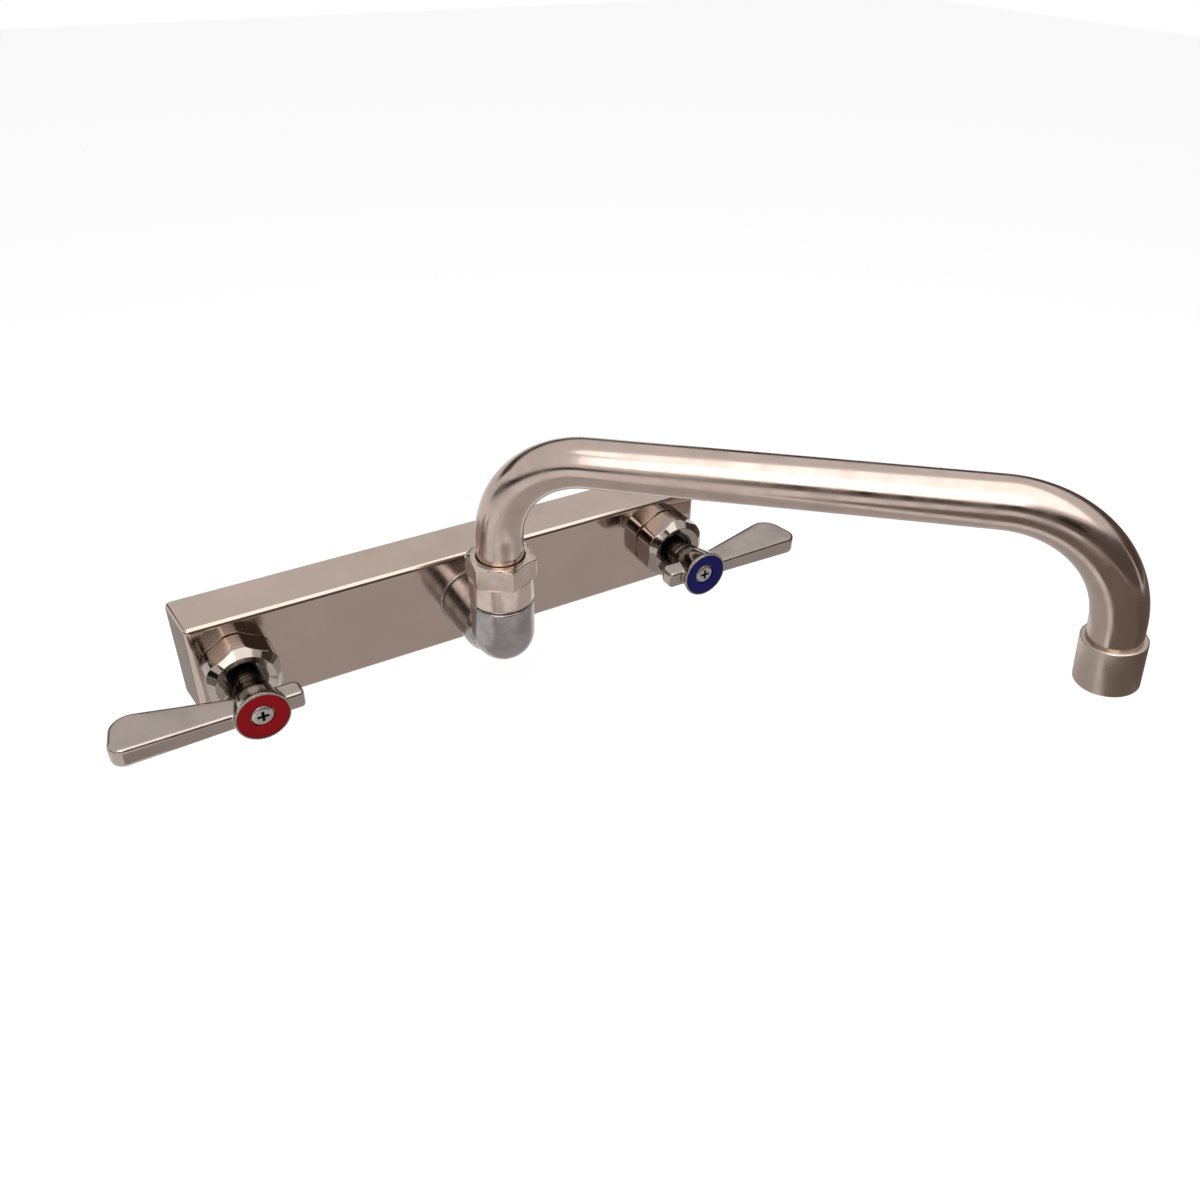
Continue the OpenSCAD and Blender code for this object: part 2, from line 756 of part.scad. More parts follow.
// Swivel nut: hexagon over a round skirt, screwed on the elbow's neck
module swivel_nut() {
    corner = nut_flats / 2 / cos(30);
    hex_bottom = nut_top - nut_hex_height;
    color(chrome_colour)
        translate([0, -swivel_depth, 0])
            difference() {
                union() {
                    rotate([0, 0, nut_turn])
                        turned_hexagon(nut_flats, corner + over, hex_bottom, nut_top, corner, nut_ring_r);
                    rod(skirt_r, nut_bottom, hex_bottom);
                    rod(nut_ring_r, nut_bottom, hex_bottom + nut_ring_r / 2);
                }
                rod(nut_thread_r, nut_bottom - over, nut_ceiling);
                rod(nut_hole_r, nut_bottom, nut_top + over);
            }
}

// Spigot: brazed in the tube's foot, sealed and turning in the elbow
module spout_spigot() {
    color(brass_colour)
        at_swivel()
            difference() {
                union() {
                    rod(spigot_r, spigot_bottom, spigot_seat);
                    rod(spigot_flange_r, spigot_seat, tube_start);
                    rod(tube_bore_r - fit_gap, tube_start, tube_start + spigot_socket_length);
                }
                rod(spigot_bore_r, spigot_bottom - over, tube_start + spigot_socket_length + over);
                for (height = spigot_ring_places)
                    ring_groove(spigot_r - ring_cord_width / 2, height, spigot_r);
            }
}

module spigot_seals() {
    color(rubber_colour)
        at_swivel()
            for (height = spigot_ring_places) seal_ring(spigot_r - ring_cord_width / 2, height);
}

// Spout tube: three straight runs and two bends, each begun where the last one ends.
// A straight run reaches a little into the bend, which is drawn a hair thinner.
module past_bend(radius, turn) {
    translate([radius, 0, 0]) rotate([0, turn, 0]) translate([-radius, 0, 0]) children();
}

module bend(radius, turn, section_r) {
    translate([radius, 0, 0])
        mirror([1, 0, 0])
            rotate([90, 0, 0])
                rotate_extrude(angle = turn)
                    translate([radius, 0]) circle(section_r - bend_draw_depth);
}

module tube_path(section_r) {
    rod(section_r, tube_start, riser_top + run_lap_length);
    translate([0, 0, riser_top]) {
        bend(base_bend_r, base_turn, section_r);
        past_bend(base_bend_r, base_turn) {
            rod(section_r, -run_lap_length, arm_straight + run_lap_length);
            translate([0, 0, arm_straight]) {
                bend(outlet_bend_r, outlet_turn, section_r);
                past_bend(outlet_bend_r, outlet_turn) rod(section_r, -run_lap_length, outlet_straight);
            }
        }
    }
}

module spout_tube() {
    color(chrome_colour)
        at_swivel()
            difference() {
                tube_path(tube_r);
                tube_path(tube_bore_r);
            }
}

// Place of the collar: its top end, with the local Z axis down the outlet
module at_collar() {
    at_swivel()
        translate([0, 0, riser_top])
            past_bend(base_bend_r, base_turn)
                translate([0, 0, arm_straight])
                    past_bend(outlet_bend_r, outlet_turn)
                        translate([0, 0, outlet_straight - collar_socket_depth])
                            children();
}

// Collar, brazed on the outlet, with the aerator in its lower end
module outlet_collar() {
    chamfered = collar_length - collar_chamfer_width;
    color(satin_colour)
        at_collar()
            difference() {
                rotate_extrude()
                    polygon([
                        [0, 0],
                        [collar_r - collar_chamfer_width, 0],
                        [collar_r, collar_chamfer_width],
                        [collar_r, chamfered],
                        [collar_r - collar_chamfer_width, collar_length],
                        [0, collar_length]
                    ]);
                rod(tube_r + fit_gap, -over, collar_socket_depth);
                rod(collar_web_bore_r, 0, collar_length);
                rod(insert_bore_r, collar_socket_depth + collar_web_thickness, collar_length + over);
            }
}

module outlet_washer() {
    from = collar_socket_depth + collar_web_thickness;
    color(rubber_colour) at_collar() tube(insert_r, outlet_washer_r, from, from + outlet_washer_thickness);
}

module aerator() {
    from = collar_socket_depth + collar_web_thickness + outlet_washer_thickness;
    screen = from + insert_length - screen_thickness;
    color(plastic_colour)
        at_collar()
            difference() {
                rod(insert_r, from, from + insert_length);
                rod(insert_r - insert_wall, from - over, screen);
                rod(screen_hole_r, screen - over, screen + screen_thickness + over);
                for (ring = [1 : screen_rings], place = [0 : 6 * ring - 1])
                    rotate([0, 0, 360 * place / (6 * ring)])
                        translate([ring * screen_pitch, 0, 0])
                            rod(screen_hole_r, screen - over, screen + screen_thickness + over);
            }
}

body_cover();
hot_valve_body();
cold_valve_body();
center_tee();
hot_crossover();
cold_crossover();
hot_bonnet();
cold_bonnet();
hot_cartridge();
cold_cartridge();
hot_cartridge_seal();
cold_cartridge_seal();
hot_seat_washer();
cold_seat_washer();
hot_fixed_disc();
cold_fixed_disc();
hot_moving_disc();
cold_moving_disc();
hot_stem();
cold_stem();
hot_stem_seal();
cold_stem_seal();
hot_lever();
cold_lever();
hot_index();
cold_index();
hot_screw();
cold_screw();
spout_elbow();
elbow_washer();
swivel_nut();
spout_spigot();
spigot_seals();
spout_tube();
outlet_collar();
outlet_washer();
aerator();
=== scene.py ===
"""Wall faucet for a commercial kitchen sink: two quarter-turn levers on a pressed
cover and a bent spout that swings on a nut. Each operator makes one piece or one
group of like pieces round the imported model, and the last one makes the studio."""

import json
import math

import bmesh
import bpy
from bpy.props import FloatProperty, FloatVectorProperty, IntProperty, PointerProperty
from mathutils import Matrix, Vector


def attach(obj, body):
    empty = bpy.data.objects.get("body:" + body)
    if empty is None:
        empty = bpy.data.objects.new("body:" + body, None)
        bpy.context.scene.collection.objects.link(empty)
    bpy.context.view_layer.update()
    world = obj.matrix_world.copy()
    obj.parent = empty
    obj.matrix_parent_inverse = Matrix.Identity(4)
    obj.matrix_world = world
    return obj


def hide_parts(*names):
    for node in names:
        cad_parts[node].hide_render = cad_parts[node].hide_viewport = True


bl_info = {
    "name": "Wall Faucet",
    "version": (1, 0, 0),
    "blender": (4, 5, 0),
    "location": "3D View > Sidebar > Wall Faucet",
    "description": "Builds a wall faucet with two levers and a swinging spout",
    "category": "Object",
}

MM = 0.001
CLEAN = 0.0005 * MM
QUARTER = math.radians(90)

# Depths of the seats for the index and for the screw's head in a lever's hub, and of
# the collar's socket for the tube
INDEX_SEAT = 1.2 * MM
HEAD_SEAT = 1.3 * MM
COLLAR_SOCKET = 6 * MM

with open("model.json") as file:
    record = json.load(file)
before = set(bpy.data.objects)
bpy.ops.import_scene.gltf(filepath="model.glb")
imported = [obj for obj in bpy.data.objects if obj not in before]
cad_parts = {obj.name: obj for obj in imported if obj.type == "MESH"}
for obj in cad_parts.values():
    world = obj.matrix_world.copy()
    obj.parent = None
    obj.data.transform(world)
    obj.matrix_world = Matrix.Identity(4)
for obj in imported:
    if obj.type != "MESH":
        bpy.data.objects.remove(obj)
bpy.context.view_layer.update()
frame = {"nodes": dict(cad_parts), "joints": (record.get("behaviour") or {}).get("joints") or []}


def joint_place(name):
    """Where the frame puts a joint, in metres."""
    for joint in frame["joints"]:
        if joint["name"] == name:
            return Vector(joint["pos_m"])
    raise RuntimeError(f"the frame has no joint named {name}")


SIDES = {"hot": joint_place("hot_handle_turn").x, "cold": joint_place("cold_handle_turn").x}
SWIVEL = joint_place("spout_swing")



def linear(text):
    """An sRGB hex colour, such as #b8a69b, as linear red, green, blue and alpha."""
    shares = [int(text[i : i + 2], 16) / 255 for i in (1, 3, 5)]
    return [s / 12.92 if s <= 0.04045 else ((s + 0.055) / 1.055) ** 2.4 for s in shares] + [1.0]


# Sizes and colours


def length(name, description, millimetres):
    return FloatProperty(
        name=name, description=description, default=millimetres * MM, min=0, unit="LENGTH", precision=5
    )


def angle(name, description, degrees):
    return FloatProperty(
        name=name, description=description, default=math.radians(degrees), subtype="ANGLE"
    )


def colour(name, description, text):
    return FloatVectorProperty(
        name=name, description=description, default=linear(text), size=4, min=0, max=1, subtype="COLOR"
    )


class CoverSizes(bpy.types.PropertyGroup):
    length: length("Length", "Length of the front face", 237.6)
    height: length("Height", "Height of the front face", 44.6)
    depth: length("Depth", "Distance from the wall to the front face", 22)
    flare: length("Flare", "How much wider the cover is at the wall, on each side", 2.2)
    rise: length("Rise", "How much higher the cover is at the wall, above and below", 0.9)
    edge: length("Edge radius", "Radius of the pressed edges", 2.4)
    sheet: length("Sheet", "Thickness of the sheet", 1.2)
    valve_hole: length("Valve hole", "Radius of the holes for the valves", 11.6)
    middle_hole: length("Middle hole", "Radius of the hole for the spout", 9.9)


class ValveSizes(bpy.types.PropertyGroup):
    bonnet_flats: length("Bonnet flats", "Width across the flats of a bonnet nut", 28.8)
    bonnet_corner: length("Bonnet corner", "Radius that the bonnet's corners are turned to", 15.3)
    bonnet_front: length("Bonnet front", "Distance from the wall to the bonnet's front", 35.5)
    bonnet_ring: length("Bonnet ring", "Radius of the bonnet's front edge", 12)
    bonnet_hole: length("Bonnet hole", "Radius of the hole round the stem", 8.8)
    bonnet_thread: length("Bonnet thread", "Radius of the bonnet's thread", 11.25)
    chamfer: angle("Chamfer", "Slope of the chamfers on the nuts", 30)
    bonnet_chamfer: angle("Bonnet chamfer", "Slope of the bonnet's front chamfer, buffed steeper", 40)


class LeverSizes(bpy.types.PropertyGroup):
    hub_back: length("Hub back", "Distance from the wall to the back of the hub", 41.3)
    hub_length: length("Hub length", "Length of the hub", 17.1)
    hub_back_radius: length("Hub back radius", "Radius of the hub at its back", 7.2)
    hub_front_radius: length("Hub front radius", "Radius of the hub at its front", 10.75)
    reach: length("Reach", "Distance from the stem's axis to the tip", 54.4)
    tip_width: length("Tip width", "Greatest width of the paddle", 20.4)
    tip_thickness: length("Tip thickness", "Thickness of the paddle at its tip", 8.4)
    root_width: length("Root width", "Width of the paddle at the hub", 9.4)
    root_thickness: length("Root thickness", "Thickness of the paddle at the hub", 7)
    tail: length("Tail", "Distance from the stem's axis to the end of the tail", 17.2)
    tail_width: length("Tail width", "Width of the tail", 9)
    tail_thickness: length("Tail thickness", "Thickness of the tail", 7.8)
    index_radius: length("Index radius", "Radius of the coloured disc", 9.95)
    screw_radius: length("Screw radius", "Radius of the screw's head", 4.45)
    grain: length("Casting grain", "Size of the cubes that fuse the lever's forms", 0.28)


class SpoutSizes(bpy.types.PropertyGroup):
    swing: angle("Swing", "Direction of the spout at rest, to the right of straight out", 45)
    tube_radius: length("Tube radius", "Outer radius of the spout tube", 9.5)
    tube_wall: length("Tube wall", "Wall of the spout tube", 1.1)
    tube_start: length("Tube start", "Height at which the tube begins", 36.75)
    corner_height: length("Corner height", "Height of the corner of the tube's axis", 85)
    reach: length("Reach", "Level distance from the swivel to the outlet's corner", 222.8)
    rise: angle("Rise", "Rise of the arm towards the outlet", 2.8)
    tilt: angle("Outlet tilt", "Angle by which the outlet leans outwards", 6.2)
    base_bend: length("First bend", "Radius of the first bend", 37)
    outlet_bend: length("Outlet bend", "Radius of the outlet bend", 45.5)
    outlet_leg: length("Outlet leg", "Length of the outlet from its corner to its end", 67.5)
    collar_radius: length("Collar radius", "Outer radius of the outlet collar", 11.35)
    collar_length: length("Collar length", "Length of the outlet collar", 18.6)
    nut_flats: length("Nut flats", "Width across the flats of the swivel nut", 25.4)
    nut_bottom: length("Nut bottom", "Height of the swivel nut's lower rim", 21.1)
    nut_top: length("Nut top", "Height of the swivel nut's top", 41)
    nut_hexagon: length("Nut hexagon", "Height of the hexagon of the swivel nut", 9.4)
    nut_turn: angle("Nut turn", "Angle that the swivel nut is screwed up to", -6)
    skirt_radius: length("Skirt radius", "Radius of the swivel nut's round skirt", 13.25)
    elbow_radius: length("Elbow radius", "Radius of the elbow's upright leg", 13)
    elbow_round: length("Elbow round", "Height of the centre of that leg's round bottom", 4.5)
    boss_radius: length("Boss radius", "Radius of the elbow's level leg", 12.8)
    nose_radius: length("Nose radius", "Radius of the round end of the level leg", 10)
    elbow_top: length("Elbow top", "Height of the elbow's shoulder", 20.0)
    washer_front: length("Washer front", "Distance from the wall to the washer's front", 22.8)


class Finishes(bpy.types.PropertyGroup):
    cover: colour("Cover", "Polished cover", "#b7a59a")
    polished: colour("Polished", "Polished bonnet nuts, lever hubs and washer", "#a1978f")
    nut: colour("Nut", "Satin swivel nut", "#c2b1a6")
    lever: colour("Lever", "Satin levers", "#a69a92")
    tube: colour("Tube", "Satin-polished tube", "#bcaaa0")
    collar: colour("Collar", "Brushed collar", "#b7a79d")
    casting: colour("Casting", "Tumbled cast elbow", "#a59d9b")
    red: colour("Red", "Index of the hot side", "#900a13")
    blue: colour("Blue", "Index of the cold side", "#10145e")


class StudioSettings(bpy.types.PropertyGroup):
    floor: FloatProperty(
        name="Floor height", description="Height of the studio floor", default=-110 * MM, unit="LENGTH"
    )
    floor_glow: FloatProperty(
        name="Floor glow", description="Light that the floor adds for the camera and mirrors", default=0.81
    )
    focal_length: FloatProperty(
        name="Focal length", description="Lens of the camera, in millimetres", default=32.057, unit="CAMERA"
    )
    daylight: FloatProperty(
        name="Daylight", description="Strength of the even light from all sides", default=0.5
    )


class FaucetSettings(bpy.types.PropertyGroup):
    cover: PointerProperty(type=CoverSizes, name="Cover", description="Sizes of the cover")
    valve: PointerProperty(type=ValveSizes, name="Valves", description="Sizes of the bonnet nuts")
    lever: PointerProperty(type=LeverSizes, name="Levers", description="Sizes of the levers")
    spout: PointerProperty(type=SpoutSizes, name="Spout", description="Sizes of the spout")
    finish: PointerProperty(type=Finishes, name="Finishes", description="Colours of the finishes")
    studio: PointerProperty(type=StudioSettings, name="Studio", description="Settings of the studio")
    steps: IntProperty(
        name="Steps", description="Steps round a turned piece, a multiple of 36", default=108, min=36, step=36
    )


# Places


def out_of_wall(x):
    """Turns the local Z axis out of the wall, at a distance along the wall."""
    return Matrix.Translation((x, 0, 0)) @ Matrix.Rotation(QUARTER, 4, "X")


def over_swivel():
    return Matrix.Translation((SWIVEL.x, SWIVEL.y, 0))


def along_spout(spout):
    """Turns the local X axis to where the spout points at rest."""
    return over_swivel() @ Matrix.Rotation(-spout.swing, 4, "Z")


# Making and joining forms


def turned(profile, steps):
    """Spins a line of (radius, height) or (radius, height, rounding) points about Z.
    A line that leaves the axis and doesn't return to it is closed into a loop."""
    bm = bmesh.new()
    points = [bm.verts.new((point[0], 0, point[1])) for point in profile]
    for start, end in zip(points, points[1:]):
        bm.edges.new((start, end))
    if profile[0][0] > 0 and profile[-1][0] > 0:
        bm.edges.new((points[-1], points[0]))
    line = bm.verts[:] + bm.edges[:]
    bmesh.ops.spin(bm, geom=line, axis=(0, 0, 1), angle=math.tau, steps=steps, use_merge=True)
    weld(bm)
    bmesh.ops.recalc_face_normals(bm, faces=bm.faces[:])
    for radius, height, *rounding in profile:
        if rounding:
            soften(bm, ring_edges(bm, radius, height), rounding[0], 4)
    return bm


def block(size, centre=(0, 0, 0)):
    bm = bmesh.new()
    bmesh.ops.create_cube(bm, size=1)
    bmesh.ops.scale(bm, vec=size, verts=bm.verts[:])
    bmesh.ops.translate(bm, vec=centre, verts=bm.verts[:])
    return bm


def weld(bm, distance=CLEAN):
    bmesh.ops.remove_doubles(bm, verts=bm.verts[:], dist=distance)


def stepped(start, *parts):
    """The outline of a plug, from the radius and the end of each of its parts."""
    outline = [(0, start)]
    for radius, end in parts:
        outline += [(radius, start), (radius, end)]
        start = end
    return outline + [(0, start)]


def circle(bm, segments, radius, centre):
    """Draws a circle and gives its edges."""
    place = Matrix.Translation(centre)
    drawn = bmesh.ops.create_circle(bm, segments=segments, radius=radius, matrix=place)
    return list(dict.fromkeys(edge for vert in drawn["verts"] for edge in vert.link_edges))


def only(kind, items):
    """The items of one kind, each once, in their order."""
    return list(dict.fromkeys(item for item in items if isinstance(item, kind)))


def on_ring(vert, radius, height):
    off = abs(math.hypot(vert.co.x, vert.co.y) - radius)
    return max(off, abs(vert.co.z - height)) < 0.01 * MM


def ring_edges(bm, radius, height):
    return [edge for edge in bm.edges if all(on_ring(vert, radius, height) for vert in edge.verts)]


def crisp_edges(bm, degrees):
    limit = math.radians(degrees)
    return [edge for edge in bm.edges if edge.is_manifold and edge.calc_face_angle() > limit]


def soften(bm, edges, width, segments):
    bmesh.ops.bevel(
        bm,
        geom=edges,
        offset=width,
        offset_type="OFFSET",
        affect="EDGES",
        segments=segments,
        profile=0.5,
        material=-1,
        clamp_overlap=True,
    )


def moved(bm, matrix):
    bmesh.ops.transform(bm, matrix=matrix, verts=bm.verts[:])
    return bm


def together(*forms):
    """All forms in one bmesh, as separate shells."""
    first = forms[0]
    for form in forms[1:]:
        mesh = bpy.data.meshes.new("form")
        form.to_mesh(mesh)
        form.free()
        first.from_mesh(mesh)
        bpy.data.meshes.remove(mesh)
    return first


def as_object(bm, name):
    mesh = bpy.data.meshes.new(name)
    bm.to_mesh(mesh)
    bm.free()
    made = bpy.data.objects.new(name, mesh)
    bpy.context.scene.collection.objects.link(made)
    return made


def discard(made):
    mesh = made.data
    bpy.data.objects.remove(made)
    bpy.data.meshes.remove(mesh)


def shaped(bm, kind, **settings):
    """The form after one modifier."""
    work = as_object(bm, "work")
    modifier = work.modifiers.new(kind, kind)
    for name, value in settings.items():
        setattr(modifier, name, value)
    result = bmesh.new()
    result.from_object(work, bpy.context.evaluated_depsgraph_get())
    discard(work)
    return result


def fused(bm, cube):
    """Melts the shells of a form into one skin, as in a casting, and evens it."""
    skin = shaped(bm, "REMESH", mode="VOXEL", voxel_size=cube)
    for _ in range(3):
        bmesh.ops.smooth_vert(
            skin, verts=skin.verts[:], factor=0.5, use_axis_x=True, use_axis_y=True, use_axis_z=True
        )
    return skin


def cut(bm, cutter):
    tool = as_object(cutter, "tool")
    result = shaped(bm, "BOOLEAN", operation="DIFFERENCE", solver="EXACT", object=tool)
    discard(tool)
    return result


def finished(name, bm, finish, body, nodes, crisp=32):
    """The piece's object, at the origin, with its finish, its body and its nodes."""
    piece = as_object(bm, name)
    piece.data.shade_smooth()
    piece.data.set_sharp_from_angle(angle=math.radians(crisp))
    piece.data.materials.append(finish)
    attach(piece, body)
    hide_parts(*nodes)
    return piece


def refinish(piece, finish, place, radius, low, high):
    """Gives another finish to the faces within a radius of an axis, between two
    heights on it. place turns the local Z axis onto that axis."""
    piece.data.materials.append(finish)
    back = place.inverted()
    for face in piece.data.polygons:
        spot = back @ face.center
        if math.hypot(spot.x, spot.y) < radius and low < spot.z < high:
            face.material_index = 1


def flat_highlights(piece):
    """Keeps flat faces flat to the eye, so that only the edges catch a line of light."""
    modifier = piece.modifiers.new("Flat highlights", "WEIGHTED_NORMAL")
    modifier.keep_sharp = True
    modifier.weight = 60


# Finishes


def add(tree, kind, inputs=None, settings=None):
    """A shader node with its values, its links and its settings."""
    node = tree.nodes.new(f"ShaderNode{kind}")
    for name, value in (settings or {}).items():
        setattr(node, name, value)
    for name, value in (inputs or {}).items():
        if isinstance(value, bpy.types.NodeSocket):
            tree.links.new(value, node.inputs[name])
        else:
            node.inputs[name].default_value = value
    return node


def blank(name):
    material = bpy.data.materials.new(name)
    material.use_nodes = True
    material.node_tree.nodes.clear()
    return material, material.node_tree


def darker(tint, share):
    return [channel * share for channel in tint[:3]] + [1.0]


def coat(tree, tint, dull, share, gloss, height, depth, values):
    """Ends a material. share mixes the dull tint with the tint, gloss is the roughness,
    height the relief, depth its size in millimetres, and values go to the surface."""
    tones = {0: share, 6: darker(tint, dull), 7: list(tint)}
    tone = add(tree, "Mix", tones, {"data_type": "RGBA"})
    relief = add(tree, "Bump", {"Height": height, "Strength": 1.0, "Distance": depth * MM})
    looks = {"Base Color": tone.outputs[2], "Roughness": gloss, "Normal": relief.outputs["Normal"]}
    surface = add(tree, "BsdfPrincipled", {**looks, **values})
    add(tree, "OutputMaterial", {"Surface": surface.outputs["BSDF"]})


def metal(name, tint, dull, roughness, cloud, grain, depth, stretch=(1, 1, 1)):
    """A metal whose tone and gloss wander in clouds, over a fine grain.
    dull is the share of the tint left in the dull clouds, roughness its range, cloud
    and grain are sizes in millimetres, depth is the grain's height in millimetres,
    and stretch draws the grain out, as brushing does."""
    if name in bpy.data.materials:
        return bpy.data.materials[name]
    material, tree = blank(name)
    place = add(tree, "TexCoord").outputs["Object"]
    noise = {"Vector": place, "Scale": 1 / (cloud * MM), "Detail": 4.0, "Roughness": 0.6}
    clouds = add(tree, "TexNoise", noise).outputs["Fac"]
    spread = {"Value": clouds, "From Min": 0.36, "From Max": 0.64}
    share = add(tree, "MapRange", spread).outputs["Result"]
    gloss = add(tree, "MapRange", {**spread, "To Min": roughness[1], "To Max": roughness[0]})
    drawn = add(tree, "Mapping", {"Vector": place, "Scale": stretch}).outputs["Vector"]
    grains = add(tree, "TexNoise", {"Vector": drawn, "Scale": 1 / (grain * MM), "Detail": 2.0})
    height = grains.outputs["Fac"]
    coat(tree, tint, dull, share, gloss.outputs["Result"], height, depth, {"Metallic": 1.0})
    return material


def solid(name, tint, dull, roughness, patch, depth, shine=0.5):
    """A rubber, ceramic, lacquer or plastic with a faint unevenness. patch is the
    size of its mottling and depth its height, in millimetres."""
    if name in bpy.data.materials:
        return bpy.data.materials[name]
    material, tree = blank(name)
    place = add(tree, "TexCoord").outputs["Object"]
    noise = {"Vector": place, "Scale": 1 / (patch * MM), "Detail": 3.0}
    mottle = add(tree, "TexNoise", noise).outputs["Fac"]
    gloss = add(tree, "MapRange", {"Value": mottle, "To Min": roughness[0], "To Max": roughness[1]})
    values = {"IOR": 1.5, "Specular IOR Level": shine}
    coat(tree, tint, dull, mottle, gloss.outputs["Result"], mottle, depth, values)
    return material


def pressed_chrome(tints):
    # Chromium plate on pressed and buffed sheet: a mirror, with faint wide clouds where
    # the sheet was drawn
    return metal("buffed_chrome_on_pressed_sheet", tints.cover, 0.93, (0.07, 0.16), 34, 9, 0.006)


def turned_chrome(tints):
    # Chromium plate on turned brass, and on the lever hubs, which are buffed as bright:
    # the clearest mirror, with hardly any mark
    return metal("bright_chrome_on_turned_brass", tints.polished, 0.9, (0.05, 0.13), 8, 3, 0.003)


def lever_satin(tints):
    # Cast zinc alloy, buffed and satin plated: soft wide highlights and a fine tooth,
    # drawn coarser than the real one so that it shows
    return metal("satin_chrome_on_cast_zinc", tints.lever, 0.92, (0.12, 0.22), 11, 0.9, 0.0012)


def nut_satin(tints):
    # Drawn hexagon brass, satin plated: flat sides with a short vertical brushing
    return metal("satin_chrome_on_drawn_brass", tints.nut, 0.9, (0.12, 0.24), 6, 0.8, 0.002, (1, 1, 0.12))


def tube_polish(tints):
    # Stainless tube, bent and belt polished: bright bands broken by the cloudy marks
    # of the belt
    return metal("belt_polished_stainless_tube", tints.tube, 0.88, (0.14, 0.25), 12, 1.6, 0.0015)


def collar_brush(tints):
    # Turned brass, brushed and plated: duller than the tube, with level brush lines
    brushing = (0.2, 0.2, 1)
    return metal("brushed_chrome_on_turned_collar", tints.collar, 0.94, (0.26, 0.36), 9, 0.8, 0.003, brushing)


def tumbled_casting(tints):
    # Cast brass, tumbled and thinly plated: a cool grey skin with soft dents and a sandy
    # grain
    return metal("tumbled_cast_elbow_metal", tints.casting, 0.74, (0.15, 0.28), 6.5, 1.3, 0.004)


def cast_brass():
    # Sand-cast yellow brass left as it came from the mould: dull gold with a sandy skin
    return metal("sand_cast_brass", linear("#b08d4f"), 0.72, (0.38, 0.6), 7, 0.7, 0.03)


def machined_brass():
    # Free-cutting brass, turned and left bare: bright gold with a fine grain
    return metal("turned_free_cutting_brass", linear("#c9a660"), 0.86, (0.16, 0.3), 6, 0.5, 0.006)


def dark_nickel():
    # Black nickel plate on turned brass: a dull grey mirror with a fine grain
    return metal("black_nickel_on_turned_brass", linear("#8a827d"), 0.8, (0.12, 0.22), 5, 0.6, 0.0015)


def drawn_copper():
    # Drawn copper tube: red metal browned in patches by handling
    return metal("drawn_copper_tube", linear("#b5714f"), 0.7, (0.2, 0.42), 9, 0.8, 0.006)


def seal_rubber():
    # Moulded nitrile rubber: near black, with a dull even sheen
    return solid("moulded_nitrile_rubber", linear("#1d1d1f"), 0.8, (0.55, 0.75), 1.5, 0.02)


def disc_ceramic():
    # Lapped alumina ceramic: off-white with a soft gloss
    return solid("lapped_alumina_ceramic", linear("#ece9e1"), 0.96, (0.18, 0.3), 3, 0.002)


def insert_plastic():
    # Moulded acetal: grey, slightly waxy
    return solid("moulded_grey_acetal", linear("#c9ccd0"), 0.94, (0.35, 0.5), 2, 0.01)


def index_lacquer(name, tint):
    # Aluminium washer under a coloured lacquer: an even deep colour with a low sheen
    return solid(name, tint, 0.86, (0.34, 0.46), 3.5, 0.004, shine=0.1)


def screw_steel():
    # Cold-headed stainless steel: light grey with a dull bloom from pickling
    return metal("cold_headed_stainless_steel", linear("#b9b3ad"), 0.85, (0.22, 0.4), 1.6, 0.4, 0.01)


def painted_shade_recess():
    # Painted shade in the cross of the screw: nearly black and dull, standing for the shade that falls inside
    # the recess
    return solid("painted_shade_cross_recess", linear("#141110"), 0.8, (0.5, 0.7), 0.8, 0.004, shine=0.2)


# Pieces


def settings_of(context):
    return context.scene.wall_faucet


class FAUCET_OT_cover(bpy.types.Operator):
    """Make the pressed cover with its round edges and its holes"""

    bl_idname = "faucet.cover"
    bl_label = "Cover"

    def execute(self, context):
        settings = settings_of(context)
        sizes = settings.cover
        bm = block((sizes.length, sizes.height, sizes.depth), (0, 0, sizes.depth / 2))
        wider = (1 + 2 * sizes.flare / sizes.length, 1 + 2 * sizes.rise / sizes.height, 1)
        bmesh.ops.scale(bm, vec=wider, verts=[vert for vert in bm.verts if vert.co.z < CLEAN])
        pressed = [edge for edge in bm.edges if max(vert.co.z for vert in edge.verts) > CLEAN]
        soften(bm, pressed, sizes.edge, 8)
        flat = [face for face in bm.faces if abs(face.normal.z) > 0.999]
        front = max(flat, key=lambda face: face.calc_center_median().z)
        rim = front.edges[:]
        bmesh.ops.delete(bm, geom=flat, context="FACES_ONLY")
        holes = [(SIDES["hot"], sizes.valve_hole), (0, sizes.middle_hole), (SIDES["cold"], sizes.valve_hole)]
        for x, radius in holes:
            rim += circle(bm, settings.steps, radius, (x, 0, sizes.depth))
        bmesh.ops.triangle_fill(bm, use_beauty=True, edges=rim, normal=(0, 0, 1))
        bmesh.ops.recalc_face_normals(bm, faces=bm.faces[:])
        bm.normal_update()
        if max(bm.faces, key=lambda face: face.calc_area()).normal.z < 0:
            bmesh.ops.reverse_faces(bm, faces=bm.faces[:])
        bm = shaped(
            bm, "SOLIDIFY", thickness=sizes.sheet, offset=-1, use_even_offset=True, use_quality_normals=True
        )
        for vert in bm.verts:
            vert.co.z = max(vert.co.z, 0)
        moved(bm, out_of_wall(0))
        chrome = pressed_chrome(settings.finish)
        cover = finished("cover_pressing", bm, chrome, "root", ["body_cover"])
        flat_highlights(cover)
        return {"FINISHED"}


def hexagon_radius(flats, turn):
    """Distance from the axis to the side of a hexagon, in the direction of a turn."""
    sixth = math.radians(60)
    return flats / 2 / math.cos((turn + sixth / 2) % sixth - sixth / 2)


